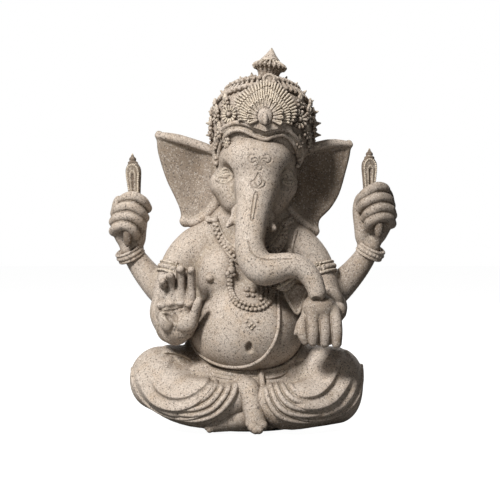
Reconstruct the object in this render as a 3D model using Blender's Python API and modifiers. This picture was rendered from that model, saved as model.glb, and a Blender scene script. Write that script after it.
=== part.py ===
"""Seated four-armed Ganesha idol in cast sandstone resin, on a felt sheet.

The castings are separate solids that meet with a thin joint gap, as bonded castings do.
Frame: +Z up, the figure faces -Y, the origin is the centre of the felt's underside.
Every table below is in millimetres, and MM turns it into metres.
"""

import math

import bmesh
import bpy
from mathutils import Matrix, Vector
from mathutils.bvhtree import BVHTree

MM = 0.001

# Driving dimensions
FELT = 1.0              # thickness of the felt sheet
JOINT = 0.36            # gap that is left at each bonded joint
FLOOR = FELT + JOINT    # lowest plane of the castings
LEAN = math.radians(4)  # the head leans this far to the figure's left

# Materials: colour, roughness
STONE = ("sandstone", (0.62, 0.55, 0.47), 0.85)
CARVED = ("carved_sandstone", (0.56, 0.48, 0.39), 0.88)
FELT_CLOTH = ("felt", (0.10, 0.11, 0.10), 0.95)
RUBBER = ("rubber_plug", (0.08, 0.08, 0.08), 0.80)

# Head and crown
CROWN = Vector((9, -3, 172))
CROWN_RADII = (29.5, 28, 30)
HALO_TIP = 35.0
HALO_VALLEY = 31.0
HALO_TEETH = 30
HALO_THICK = 5.0
TIERS = (("crown_tier_lower", 194.0, 20.5, 2.6), ("crown_tier_upper", 199.5, 15.2, 2.7))  # height, radius, thickness
FINIAL_FOOT = Vector((12.4, -1, 202.6))
FINIAL_PROFILE = ((0, 17.4), (3.4, 12.6), (6.4, 9.6), (7.2, 8.8), (10.0, 6.8), (8.2, 4.6), (5.4, 0), (0, 0))

TRUNK = (
    (7, -16, 150, 18), (6.4, -22, 139, 15.6), (4, -29, 126, 11.4), (2, -34, 113, 8.8), (1.8, -38, 103, 8.4),
    (4.2, -39.5, 95.8, 9.0), (9, -40.5, 91.4, 9.1), (15, -41.5, 91.6, 8.3), (21, -42.5, 93, 7.3), (27, -43, 92.6, 6.7),
    (32, -43.3, 89.6, 6.1), (35.4, -43.6, 85, 5.7), (37.2, -43.8, 80.4, 5.4), (37.7, -43.8, 77.4, 5.4),
)
BROW = (
    (8.5, -37.5, 165), (2, -38.5, 168), (-6, -36, 168.5), (-13, -31, 162), (-18.5, -22, 152.5), (-22, -10, 151),
    (-22, 6, 154), (-14, 21, 157), (6, 28, 158), (26, 21, 157), (35.5, 6, 154), (36.5, -10, 152), (34.5, -21, 153.5),
    (29.5, -31, 162), (22, -35.5, 168), (14.5, -38.5, 167.5),
)
FAN = (
    (-26, -8), (-24, 4), (-17, 14), (-9, 20), (0, 27), (4.5, 29.5), (9, 26), (16, 19), (22, 11), (25, 1), (25, -9),
    (14, -3), (0, -6), (-14, -3),
)


# ---------------------------------------------------------------- tools

def clear_scene():
    """Removes every object that the file opened with."""
    for obj in list(bpy.data.objects):
        bpy.data.objects.remove(obj, do_unlink=True)


def collection(name):
    made = bpy.data.collections.new(name)
    bpy.context.scene.collection.children.link(made)
    return made


def material(kind):
    """One Principled material for each kind, made once."""
    name, colour, roughness = kind
    made = bpy.data.materials.get(name)
    if made is None:
        made = bpy.data.materials.new(name)
        made.use_nodes = True
        shader = made.node_tree.nodes["Principled BSDF"]
        shader.inputs["Base Color"].default_value = (*colour, 1)
        shader.inputs["Roughness"].default_value = roughness
        shader.inputs["Metallic"].default_value = 0
    return made


def new_object(name, mesh):
    obj = bpy.data.objects.new(name, mesh)
    bpy.context.scene.collection.objects.link(obj)
    return obj


def baked(obj):
    """The object as a plain mesh object: modifiers and transform applied, and a curve's caps welded."""
    bpy.context.view_layer.update()
    graph = bpy.context.evaluated_depsgraph_get()
    mesh = bpy.data.meshes.new_from_object(obj.evaluated_get(graph))
    mesh.transform(obj.matrix_world)
    name = obj.name
    bpy.data.objects.remove(obj)
    work = bmesh.new()
    work.from_mesh(mesh)
    bmesh.ops.remove_doubles(work, verts=work.verts, dist=0.005 * MM)
    bmesh.ops.recalc_face_normals(work, faces=work.faces)
    work.to_mesh(mesh)
    work.free()
    return new_object(name, mesh)


def blob(centre, radii, turn=(0, 0, 0), segments=20):
    """An ellipsoid, turned by Euler degrees."""
    work = bmesh.new()
    bmesh.ops.create_uvsphere(work, u_segments=segments, v_segments=segments // 2 + 2, radius=1)
    turned = Matrix.Rotation(math.radians(turn[2]), 4, "Z") @ Matrix.Rotation(math.radians(turn[1]), 4, "Y")
    turned = turned @ Matrix.Rotation(math.radians(turn[0]), 4, "X")
    place = Matrix.Translation(Vector(centre) * MM) @ turned @ Matrix.Diagonal((*(Vector(radii) * MM), 1))
    bmesh.ops.transform(work, matrix=place, verts=work.verts)
    mesh = bpy.data.meshes.new("blob")
    work.to_mesh(mesh)
    work.free()
    return new_object("blob", mesh)


def smooth_line(stations, steps):
    """Catmull-Rom points through the stations, each a tuple of x, y, z and radius."""
    points = [Vector(s) for s in stations]
    ends = [points[0] * 2 - points[1], *points, points[-1] * 2 - points[-2]]
    line = []
    for a, b, c, d in zip(ends, ends[1:], ends[2:], ends[3:]):
        for i in range(steps):
            t = i / steps
            line.append(
                0.5 * (2 * b + (c - a) * t + (2 * a - 5 * b + 4 * c - d) * t**2 + (3 * b - a - 3 * c + d) * t**3)
            )
    return [*line, points[-1]]


def tube(name, stations, steps=1, sides=2, closed=False):
    """A tapered tube with round ends, as a bevelled curve through stations of x, y, z and radius."""
    line = smooth_line(stations, steps)
    if not closed:
        line = [*round_end(line[0], line[1]), *line, *reversed(round_end(line[-1], line[-2]))]
    data = bpy.data.curves.new(name, "CURVE")
    data.dimensions = "3D"
    data.bevel_depth = MM
    data.bevel_resolution = sides
    data.use_fill_caps = not closed
    spline = data.splines.new("POLY")
    spline.points.add(len(line) - 1)
    for point, (x, y, z, radius) in zip(spline.points, line):
        point.co = (x * MM, y * MM, z * MM, 1)
        point.radius = radius
    spline.use_cyclic_u = closed
    return baked(new_object(name, data))


def round_end(end, inner):
    """Two shrinking stations beyond an end, the outermost first."""
    out = (Vector(end[:3]) - Vector(inner[:3])).normalized() * end[3]
    far, near = Vector(end[:3]) + out * 0.92, Vector(end[:3]) + out * 0.62
    return [Vector((*far, end[3] * 0.38)), Vector((*near, end[3] * 0.78))]


def lathe(name, profile, foot, steps=16, lean=0.0):
    """A turned shape from a profile of radius and height, listed from the top down."""
    mesh = bpy.data.meshes.new(name)
    mesh.from_pydata([(r * MM, 0, z * MM) for r, z in profile], [(i, i + 1) for i in range(len(profile) - 1)], [])
    obj = new_object(name, mesh)
    screw = obj.modifiers.new("turn", "SCREW")
    screw.steps = screw.render_steps = steps
    screw.use_merge_vertices = True
    screw.merge_threshold = 0.01 * MM
    obj.location = Vector(foot) * MM
    obj.rotation_euler = (0, lean, 0)
    return baked(obj)


def plate(name, outline, thickness, centre, turn=(0, 0, 0)):
    """A flat outline of x and z, made thick along Y, then turned by Euler degrees and placed."""
    data = bpy.data.curves.new(name, "CURVE")
    data.dimensions = "2D"
    data.fill_mode = "BOTH"
    data.extrude = thickness / 2 * MM
    spline = data.splines.new("POLY")
    spline.points.add(len(outline) - 1)
    for point, (x, z) in zip(spline.points, outline):
        point.co = (x * MM, z * MM, 0, 1)
    spline.use_cyclic_u = True
    obj = new_object(name, data)
    obj.location = Vector(centre) * MM
    obj.rotation_euler = [math.radians(90 + turn[0]), math.radians(turn[1]), math.radians(turn[2])]
    return baked(obj)


def joined(name, pieces):
    """The pieces' meshes as one object, still as separate closed shells."""
    work = bmesh.new()
    for piece in pieces:
        work.from_mesh(piece.data)
        bpy.data.objects.remove(piece)
    mesh = bpy.data.meshes.new(name)
    work.to_mesh(mesh)
    work.free()
    return new_object(name, mesh)


def fused(name, pieces, voxel, triangles):
    """The pieces melted into one soft body of about that many triangles."""
    obj = joined(name, pieces)
    melt = obj.modifiers.new("melt", "REMESH")
    melt.mode = "VOXEL"
    melt.voxel_size = voxel * MM
    soften = obj.modifiers.new("soften", "SMOOTH")
    soften.factor = 0.5
    soften.iterations = 3
    obj = baked(obj)
    thin = obj.modifiers.new("thin", "DECIMATE")
    thin.ratio = min(1.0, triangles / (2 * len(obj.data.polygons)))
    return baked(obj)


def swollen(name, shape, gap):
    """A hidden cutter in a piece's uncut shape, grown by the joint gap along its normals."""
    work = bmesh.new()
    work.from_mesh(shape)
    work.normal_update()
    grown = [(v, v.co + v.normal * min(v.calc_shell_factor(), 2) * gap * MM) for v in work.verts]
    for vertex, place in grown:
        vertex.co = place
    mesh = bpy.data.meshes.new(name + "_cutter")
    work.to_mesh(mesh)
    work.free()
    cutter = new_object(mesh.name, mesh)
    cutter.hide_render = True
    cutter.display_type = "WIRE"
    return cutter


def tree_of(mesh):
    work = bmesh.new()
    work.from_mesh(mesh)
    tree = BVHTree.FromBMesh(work)
    work.free()
    return tree


def largest_island(obj):
    """Keeps the largest closed shell of a cut piece, without the crumbs beside it."""
    work = bmesh.new()
    work.from_mesh(obj.data)
    bmesh.ops.dissolve_degenerate(work, edges=work.edges, dist=0.01 * MM)
    bmesh.ops.triangulate(work, faces=work.faces)
    left, islands = set(work.faces), []
    while left:
        todo, island = [left.pop()], []
        while todo:
            face = todo.pop()
            island.append(face)
            for edge in face.edges:
                for other in edge.link_faces:
                    if other in left:
                        left.remove(other)
                        todo.append(other)
        islands.append(island)
    islands.sort(key=lambda faces: sum(f.calc_area() for f in faces))
    crumbs = [face for island in islands[:-1] for face in island]
    bmesh.ops.delete(work, geom=crumbs, context="FACES")
    work.to_mesh(obj.data)
    work.free()
    return obj


def cut_by(obj, cutter, operation="DIFFERENCE"):
    modifier = obj.modifiers.new("joint", "BOOLEAN")
    modifier.operation = operation
    modifier.solver = "EXACT"
    modifier.object = cutter
    return largest_island(baked(obj))


def flat_cut(obj, low):
    """Cuts away what lies below a level plane."""
    work = bmesh.new()
    bmesh.ops.create_cube(work, size=400 * MM)
    bmesh.ops.translate(work, vec=(0, 0, (low - 200) * MM), verts=work.verts)
    mesh = bpy.data.meshes.new("floor_cutter")
    work.to_mesh(mesh)
    work.free()
    cutter = new_object("floor_cutter", mesh)
    obj = cut_by(obj, cutter)
    bpy.data.objects.remove(cutter)
    return obj


def carved(name, obj, tool, operation):
    """The object after one Boolean with a tool, which is then removed."""
    obj = cut_by(obj, tool, operation)
    bpy.data.objects.remove(tool)
    obj.name = name
    return obj


def on_surface(obj, points, lift):
    """The nearest places on the object to each point, raised off it by lift."""
    tree = tree_of(obj.data)
    placed = []
    for x, y, z, radius in points:
        spot, normal, _, _ = tree.find_nearest(Vector((x, y, z)) * MM)
        placed.append((*(spot / MM + normal * (radius + lift)), radius))
    return placed


class Assembly:
    """The finished pieces. Each new one is cut back from those that it meets."""

    def __init__(self, name):
        self.parts = collection(name)
        self.pieces = {}
        self.shapes = {}

    def add(self, obj, kind, floor=False):
        name = obj.name
        if floor:
            obj = flat_cut(obj, FLOOR)
        uncut = obj.data.copy()
        for other, shape in self.shapes.items():
            cutter = swollen(other, shape, JOINT)
            if tree_of(uncut).overlap(tree_of(cutter.data)):
                obj = cut_by(obj, cutter)
            bpy.data.objects.remove(cutter)
        self.pieces[name] = obj
        self.shapes[name] = uncut
        obj.name = name
        obj.data.name = name
        obj.data.materials.clear()
        obj.data.materials.append(material(kind))
        bpy.context.scene.collection.objects.unlink(obj)
        self.parts.objects.link(obj)


# ---------------------------------------------------------------- sub-parts

def base(idol):
    """The felt sheet, and the seat casting with its filling plug above the felt."""
    outline = [
        (30 * math.cos(math.tau * i / 36), 24 * math.sin(math.tau * i / 36)) for i in range(36)
    ]
    felt = plate("base_felt", outline, FELT, (0, -2, FELT / 2), turn=(-90, 0, 0))
    idol.add(felt, FELT_CLOTH)
    plug = lathe("filling_plug", ((0, 6), (8, 6), (8, 0), (0, 0)), (0, 4, FLOOR))
    idol.add(plug, RUBBER)
    seat = fused("seat", [blob((0, 6, 20), (45, 34, 27)), blob((0, -8, 16), (36, 26, 22))], 2.5, 420)
    idol.add(seat, STONE, floor=True)


def torso(idol):
    blobs = [
        blob((0, -12, 57), (30.5, 29, 24)), blob((0, -3, 88), (30, 21, 24)), blob((0, 10, 74), (30, 20, 38)),
        blob((3, -3, 116), (15, 15, 14)),
    ]
    for side in (-1, 1):
        blobs.append(blob((27 * side, 1, 102), (13, 12, 13)))
        blobs.append(blob((15 * side, -14, 88), (14, 12, 13)))
    idol.add(fused("torso", blobs, 2.2, 900), STONE)


def legs(idol):
    """Crossed legs in the draped dhoti. The figure's right leg is at -X."""
    for name, side in (("right_leg", -1), ("left_leg", 1)):
        thigh = tube("thigh", ((20 * side, 2, 27, 18), (36 * side, -4, 27, 20), (48 * side, -9, 25.5, 20.5)), sides=4)
        calf = tube("calf", ((50 * side, -15, 20, 17), (30 * side, -28, 17, 14), (15 * side, -34, 16, 12)), sides=4)
        idol.add(fused(name, [thigh, calf], 2.4, 560), STONE, floor=True)
    right = ((-2, -30, 27, 8), (2, -37, 23, 7.6), (4.5, -41, 14, 6.8), (5.6, -44, 7, 6.0))
    idol.add(tube("right_foot", right, sides=3), STONE, floor=True)
    left = ((14, -30, 8, 8), (0, -33, 8.5, 7.4), (-12, -35, 7.6, 6.4), (-19, -35, 7, 5.2))
    idol.add(tube("left_foot", left, sides=3), STONE, floor=True)
    right_hem = ((-6, -36, 30, 3.6), (-9, -41, 23, 4), (-14, -42, 15, 3.8), (-19, -41, 8, 3.2))
    idol.add(tube("right_hem", right_hem, steps=2), CARVED)
    left_hem = ((11, -35, 28, 3.4), (13, -41, 20, 3.8), (17, -42, 12, 3.6), (22, -41, 7, 3))
    idol.add(tube("left_hem", left_hem, steps=2), CARVED)
    belt = ((-29, -26, 37, 4), (-14, -34, 33, 5), (2, -37, 31.5, 5.4), (17, -34, 33, 5), (29, -26, 37, 4))
    idol.add(tube("waist_band", belt, steps=2), CARVED)


def head(idol):
    blobs = [
        blob((-3, -14, 152), (17, 22, 18)), blob((17, -14, 152), (17, 22, 18)), blob((-7, -12, 140), (15.5, 15, 15)),
        blob((18, -12, 139), (14, 15, 14)), blob((5.5, -9, 130), (17, 15, 13)), blob((6.5, -2, 150), (27, 25, 24)),
    ]
    idol.add(fused("head", blobs, 2.0, 760), STONE)
    idol.add(tube("trunk", TRUNK, steps=2, sides=4), STONE)
    right_tusk = ((-5, -27, 124, 3.2), (-8, -32, 118, 2.5), (-10.4, -35, 114.6, 1.5))
    idol.add(tube("right_tusk", right_tusk, steps=2), STONE)
    left_tusk = ((12, -28, 123, 3.2), (14, -34, 117, 2.8), (14.6, -36, 113, 2.6))
    idol.add(tube("left_tusk", left_tusk, steps=2), STONE)
    right_ear = (
        (-12, 157), (-26, 162.5), (-40, 167), (-53, 170), (-52, 160), (-50, 150), (-46, 140), (-41, 131), (-38, 123),
        (-37, 115.5), (-30, 114.5), (-22, 119), (-12, 130),
    )
    left_ear = (
        (26, 154), (36, 160), (48, 165), (62, 166.5), (60, 156), (57, 146), (52, 135), (45, 126), (42, 120),
        (40, 112), (34, 112.5), (26, 120), (20, 128),
    )
    ear_parts = (("right_ear", right_ear, -14), ("left_ear", left_ear, 14))
    for name, outline, swing in ear_parts:
        middle_x = sum(x for x, _ in outline) / len(outline)
        local = [(x - middle_x, z) for x, z in outline]
        ear = plate(name, local, 8, (middle_x, 0, 0), turn=(0, 0, swing))
        dish = blob((middle_x * 0.96, -16, 147), (17, 15, 26), turn=(0, 0, swing))
        idol.add(carved(name, ear, dish, "DIFFERENCE"), STONE)


def crown(idol):
    dome = blob(CROWN, CROWN_RADII, segments=28)
    dome = flat_cut(dome, 156)
    dome.name = "crown_cap"
    idol.add(dome, STONE)
    finial = lathe("crown_finial", FINIAL_PROFILE, FINIAL_FOOT, lean=1.7 * LEAN)
    idol.add(finial, CARVED)
    band = [(*place, 3.0) for place in BROW]
    idol.add(tube("brow_band", smooth_line([*band, band[0]], 2)[:-1], closed=True), CARVED)
    star = []
    for i in range(2 * HALO_TEETH):
        radius = HALO_TIP if i % 2 else HALO_VALLEY
        turn = math.tau * i / (2 * HALO_TEETH)
        star.append((radius * math.cos(turn), radius * math.sin(turn)))
    halo = plate("crown_halo", star, HALO_THICK, (CROWN.x, 2, CROWN.z))
    halo = flat_cut(halo, 158)
    halo.name = "crown_halo"
    idol.add(halo, CARVED)
    for name, height, radius, thick in TIERS:
        ring = []
        for i in range(24):
            turn = math.tau * i / 24
            ring.append((CROWN.x + 1 + radius * math.cos(turn), CROWN.y + radius * math.sin(turn), height, thick))
        idol.add(tube(name, ring, closed=True), CARVED)
    fan = plate("fan", FAN, 60, (8.5, -36, 172))
    shell = blob(CROWN + Vector((0, -1, 0)), Vector(CROWN_RADII) + Vector((6, 6, 2.6)), segments=28)
    idol.add(carved("crown_front_plate", fan, shell, "INTERSECT"), CARVED)
    idol.add(fused("crown_medallion", [blob((9.4, -38.6, 174), (6.4, 3.6, 7.4))], 1.2, 160), STONE)
    rosettes = (
        ("right_rosette", (-11.3, -32, 177.2), (-0.58, -0.8, 0.15), 6.4),
        ("left_rosette", (29.6, -31, 174.5), (0.58, -0.8, 0.1), 6.4),
        ("right_side_rosette", (-20.0, -17, 168.5), (-0.93, -0.35, 0.1), 5.4),
        ("left_side_rosette", (38, -15, 169.5), (0.95, -0.3, 0.1), 5.4),
    )
    for name, centre, facing, radius in rosettes:
        idol.add(rosette(name, centre, facing, radius), CARVED)


def rosette(name, centre, facing, radius):
    """A round flower of eight petals with a raised heart."""
    work = bmesh.new()
    bmesh.ops.create_cone(work, cap_ends=True, segments=16, radius1=1, radius2=0.7, depth=0.8)
    for vertex in work.verts:
        turn = math.atan2(vertex.co.y, vertex.co.x)
        if round(turn / (math.tau / 16)) % 2:
            vertex.co.xy *= 0.82
    facing = Vector(facing).to_track_quat("Z", "Y").to_matrix().to_4x4()
    place = Matrix.Translation(Vector(centre) * MM) @ facing @ Matrix.Scale(radius * MM, 4)
    bmesh.ops.transform(work, matrix=place, verts=work.verts)
    mesh = bpy.data.meshes.new(name)
    work.to_mesh(mesh)
    work.free()
    return new_object(name, mesh)


def jewellery(idol):
    """The neck collar, the bead garland, the sacred thread and the sash end, laid on the torso."""
    body = idol.pieces["torso"]
    collar = []
    for i in range(26):
        turn = math.tau * i / 26
        front = max(0.0, -math.sin(turn))
        x = 1.5 + 20 * math.cos(turn)
        collar.append((x, 22 * math.sin(turn) - 1, 114 - 18 * front, 2.6))
    idol.add(tube("neck_collar", on_surface(body, collar, 0.5), closed=True), CARVED)
    drape = (
        (-9, -30, 90, 2.3), (-8.5, -32, 84, 2.3), (-7, -34, 78, 2.3), (-3, -36, 73, 2.3), (3, -38, 71, 2.3),
        (9, -36, 72, 2.3), (13, -34, 76, 2.3), (15, -32, 82, 2.3), (16, -30, 89, 2.3),
    )
    idol.add(tube("bead_garland", on_surface(body, drape, 0.6), steps=2), CARVED)
    thread = (
        (23, -14, 107, 1.2), (21, -24, 98, 1.2), (20, -26, 90, 1.2), (18.5, -28, 82, 1.2), (17, -32, 72, 1.2),
        (18, -36, 62, 1.2), (15, -40, 51, 1.2), (9, -42, 46, 1.2), (0, -40, 43, 1.2), (-10, -38, 42, 1.2),
        (-19, -32, 44, 1.2), (-25, -24, 49, 1.2), (-29, -18, 56, 1.2),
    )
    idol.add(tube("sacred_thread", on_surface(body, thread, 0.5), steps=2), CARVED)
    sash = [(-6, 18), (2, 20), (6, 12), (9, -2), (5, -14), (-4, -6)]
    idol.add(plate("shoulder_sash", sash, 5, (26, -30, 78), turn=(0, 0, 30)), CARVED)


def arms(idol):
    """Upper arms, the two front forearms and hands, and the two raised forearms and fists with their maces."""
    for name, side in (("right", -1), ("left", 1)):
        upper = ((31, 1, 104, 11.5), (37, 0, 96, 11), (42, -1, 84, 10.4), (45, -4, 73, 10.4), (45.5, -7, 66, 10.4))
        upper = [(x * side, y, z, r) for x, y, z, r in upper]
        idol.add(tube(name + "_upper_arm", upper, steps=2, sides=4), STONE)
        idol.add(armlet(name + "_armlet", side), CARVED)
    raised = ((-45, 4, 74, 9), (-52, 7, 80, 8.6), (-60, 8, 88, 7.4), (-66, 8, 96, 6.6), (-70, 6, 104, 6.2))
    idol.add(tube("right_raised_forearm", raised, steps=2, sides=3), STONE)
    raised = ((47, 4, 73, 9), (54, 7, 80, 8.6), (63, 8, 89, 7.4), (70, 8, 97, 6.6), (75, 6, 105, 6.2))
    idol.add(tube("left_raised_forearm", raised, steps=2, sides=3), STONE)
    raised_hand(idol, "right", Vector((-69, 0, 118)), -1)
    raised_hand(idol, "left", Vector((75.5, 0, 120)), 1)
    blessing_arm(idol)
    resting_arm(idol)


def armlet(name, side):
    """A band round the upper arm, tilted with it."""
    along = Vector((5 * side, -1, -12)).normalized()
    facing = along.to_track_quat("Z", "Y")
    ring = []
    for i in range(16):
        turn = math.tau * i / 16
        spot = Vector((41 * side, -0.8, 87)) + facing @ Vector((12.6 * math.cos(turn), 12.6 * math.sin(turn), 0))
        ring.append((*spot, 1.7))
    return tube(name, ring, closed=True)


def raised_hand(idol, name, grip, side):
    """A fist of four stacked fingers round a mace, with a bangle at the wrist."""
    mace = (
        (0.5, -1, -15, 2.2), (0.5, -1, -4, 2.4), (1, -1, 8, 2.6), (1.6, -1, 14, 3.4), (2, -1, 21, 4.4), (2, -1, 28, 4.6),
        (2, -1, 32, 3.2), (2, -1, 34, 1.9), (2, -1, 37.4, 1.4),
    )
    stations = [(grip.x - dx * side, grip.y + dy, grip.z + dz, r) for dx, dy, dz, r in mace]
    idol.add(tube(name + "_mace", stations, steps=1, sides=2), CARVED)
    pieces = [blob(grip + Vector((5 * side, 2, 1)), (6.5, 7, 14))]
    for i in range(4):
        level = grip.z + 10 - 5.6 * i
        pieces.append(
            tube("finger", (
                (grip.x + 9 * side, 1, level - 1, 2.9), (grip.x + 3 * side, -6, level, 2.9),
                (grip.x - 4 * side, -6, level + 0.5, 2.8), (grip.x - 8 * side, 0, level - 2, 2.6),
            ))
        )
    idol.add(fused(name + "_raised_hand", pieces, 1.1, 420), STONE)
    ring = []
    along = Vector((6 * side, -1, -9)).normalized().to_track_quat("Z", "Y")
    for i in range(14):
        turn = math.tau * i / 14
        wrist = Vector((grip.x + 0.5 * side, 6.5, grip.z - 16.5))
        ring.append((*(wrist + along @ Vector((8.0 * math.cos(turn), 8.0 * math.sin(turn), 0))), 1.6))
    idol.add(tube(name + "_bangle", ring, closed=True), CARVED)


def blessing_arm(idol):
    """The figure's right forearm and open hand, palm forward and fingers up."""
    forearm = ((-45, -9, 63, 9.8), (-42, -19, 58, 9.4), (-39, -28, 55.5, 8.4))
    idol.add(tube("right_forearm", forearm, steps=2, sides=3), STONE)
    pieces = [blob((-37.5, -37, 66), (10.5, 5, 13)), blob((-31, -39, 60), (5.5, 5, 7)), blob((-37, -35, 57), (9, 6, 7))]
    for x, top in ((-46, 87), (-41.3, 90), (-36, 93), (-30.6, 93.5)):
        pieces.append(tube("finger", ((x * 0.98, -37, 72, 2.7), (x, -40, 80, 2.7), (x, -42, top - 2.4, 2.4))))
    pieces.append(tube("thumb", ((-30, -40, 62, 3.4), (-27.4, -43, 69, 2.9), (-25.8, -44, 75, 2.4))))
    idol.add(fused("right_hand", pieces, 1.0, 560), STONE)


def resting_arm(idol):
    """The figure's left forearm, and the hand that rests on the knee with its fingers down."""
    forearm = ((47, -8, 68, 9.6), (48, -18, 68.5, 9), (45.5, -29, 67.5, 8.2))
    idol.add(tube("left_forearm", forearm, steps=2, sides=3), STONE)
    pieces = [blob((41, -37.5, 65.5), (10, 8, 8.5)), blob((50, -33, 66), (4.4, 5, 5))]
    for x, low in ((31.8, 53), (36.6, 50.5), (42.4, 50), (48, 51)):
        pieces.append(tube("finger", ((x * 0.99 + 0.4, -41, 63, 3.1), (x, -44.5, 57, 3), (x, -45, low + 2.6, 2.7))))
    idol.add(fused("left_hand", pieces, 1.0, 560), STONE)


def main():
    clear_scene()
    idol = Assembly("ganesha_idol")
    base(idol)
    torso(idol)
    legs(idol)
    head(idol)
    crown(idol)
    arms(idol)
    jewellery(idol)


main()
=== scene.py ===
"""Looks of the seated Ganesha idol: each casting is sculpted as a distance field and meshed, in cast sandstone.

Fields work in millimetres, in the CAD's frame: +Z up, the figure faces -Y, and its own right side is at -X.
"""

import math

import bpy
import numpy as np
import openvdb
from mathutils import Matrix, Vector


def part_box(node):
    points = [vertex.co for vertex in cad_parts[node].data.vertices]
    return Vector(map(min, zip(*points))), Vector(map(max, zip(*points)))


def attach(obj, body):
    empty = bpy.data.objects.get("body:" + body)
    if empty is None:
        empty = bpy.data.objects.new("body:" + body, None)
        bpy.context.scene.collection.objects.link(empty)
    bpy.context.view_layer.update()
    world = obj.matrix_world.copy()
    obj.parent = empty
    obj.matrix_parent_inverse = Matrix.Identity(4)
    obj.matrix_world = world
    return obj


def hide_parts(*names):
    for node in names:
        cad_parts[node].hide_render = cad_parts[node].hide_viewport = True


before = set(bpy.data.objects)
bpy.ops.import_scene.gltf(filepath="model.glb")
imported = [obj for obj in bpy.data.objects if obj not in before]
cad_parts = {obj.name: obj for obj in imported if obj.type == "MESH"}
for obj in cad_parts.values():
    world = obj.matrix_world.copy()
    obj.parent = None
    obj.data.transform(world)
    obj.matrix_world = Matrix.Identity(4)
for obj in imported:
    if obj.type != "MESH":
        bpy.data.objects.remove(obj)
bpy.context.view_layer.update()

MM = 0.001
FINE = 0.32      # voxel of the carved pieces, in mm
BROAD = 0.42      # voxel of the plain limbs
CARVED = 0.26    # voxel of the crown and the engraved head
FLOOR = 1.36                        # lowest plane of the castings, above the felt
FAR = 1000.0
PAD = 1.2                           # a field is worked out this far beyond its own box
REACH = 12.0                        # a segment farther off than this can't shape a blend
HIDDEN = 0.22                       # a blended piece runs this far below its neighbour's skin
BLOCK = 12                          # a mesh is worked out in blocks of this many voxels a side
FLATNESS = 0.012                    # how far the mesher may merge nearly level quads
HOLLOW_REACH = 1.6                  # how far out of the skin the wash and painted shade look for a wall
EDGE_REACH = 0.9                    # how far into the stone the rubbed wear and painted highlight look for the other side
RIGHT, LEFT = -1, 1                 # the figure's own sides
SIDES = (("right", RIGHT), ("left", LEFT))


# ---------------------------------------------------------------- distance fields

class Field:
    """A solid: the signed distance at points (3 x N), and the box that holds it."""

    def __init__(self, distance, low, high):
        self.distance = distance
        self.low = np.array(low, float)
        self.high = np.array(high, float)

    def near(self, low, high, reach):
        return bool(np.all(self.low - reach <= high) and np.all(self.high + reach >= low))


def soft_min(a, b, soft):
    if not soft:
        return np.minimum(a, b)
    h = np.maximum(soft - np.abs(a - b), 0)
    return np.minimum(a, b) - h * h / (4 * soft)


def join(fields, soft=0.0):
    """One solid of several, with its inner corners rounded over about half of soft."""
    fields = list(fields)

    def distance(p, low, high):
        total = np.full(p.shape[1], FAR)
        for field in fields:
            if field.near(low, high, soft + PAD):
                total = soft_min(total, field.distance(p, low, high), soft)
        return total

    low = np.min([f.low for f in fields], axis=0) - soft / 4
    high = np.max([f.high for f in fields], axis=0) + soft / 4
    return Field(distance, low, high)


def cut(field, tool, soft=0.0):
    """A solid with another taken out of it."""
    def distance(p, low, high):
        total = field.distance(p, low, high)
        if tool.near(low, high, soft + PAD):
            total = -soft_min(-total, tool.distance(p, low, high), soft)
        return total

    return Field(distance, field.low, field.high)


def common(field, tool, soft=0.0):
    """What two solids share."""
    def distance(p, low, high):
        return -soft_min(-field.distance(p, low, high), -tool.distance(p, low, high), soft)

    return Field(distance, np.maximum(field.low, tool.low), np.minimum(field.high, tool.high))


def grown(field, by):
    return Field(lambda p, low, high: field.distance(p, low, high) - by, field.low - by, field.high + by)


def moved(field, shift):
    shift = np.array(shift, float)
    place = shift[:, None]
    return Field(
        lambda p, low, high: field.distance(p - place, low - shift, high - shift),
        field.low + shift, field.high + shift,
    )


def blended(own, neighbours, soft):
    """A solid that flows into its neighbours. Away from it, its skin runs just below theirs."""
    def distance(p, low, high):
        mine = own.distance(p, low, high)
        total = mine
        for other in neighbours:
            if other.near(low, high, soft + PAD):
                total = soft_min(total, other.distance(p, low, high) + HIDDEN, soft)
        return np.maximum(total, mine - 1.4 * soft)

    return Field(distance, own.low - 1.4 * soft, own.high + 1.4 * soft)


def above(field, level):
    """What is above a level plane."""
    def distance(p, low, high):
        return np.maximum(field.distance(p, low, high), level - p[2])

    low = np.array([*field.low[:2], max(field.low[2], level)])
    return Field(distance, low, field.high)


BACKWARD = (0, -1, 0)       # a thing is laid on a form's back along this


def turning(turn):
    """The rotation matrix of Euler degrees about X, then Y, then Z."""
    matrix = np.eye(3)
    for axis, degrees in enumerate(turn):
        c, s = math.cos(math.radians(degrees)), math.sin(math.radians(degrees))
        i, j = (axis + 1) % 3, (axis + 2) % 3
        one = np.eye(3)
        one[i, i], one[i, j], one[j, i], one[j, j] = c, -s, s, c
        matrix = one @ matrix
    return matrix


def ball(centre, radii, turn=(0, 0, 0)):
    """An ellipsoid."""
    axes = turning(turn)
    centre = np.array(centre, float)
    radii = np.ones(3) * radii

    def distance(p, low, high):
        q = (axes.T @ (p - centre[:, None])) / radii[:, None]
        outer = np.sqrt((q * q).sum(axis=0))
        slope = np.sqrt(((q / radii[:, None]) ** 2).sum(axis=0))
        return outer * (outer - 1) / np.maximum(slope, 1e-6)

    half = np.sqrt(((axes * radii) ** 2).sum(axis=1))
    return Field(distance, centre - half, centre + half)


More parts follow.
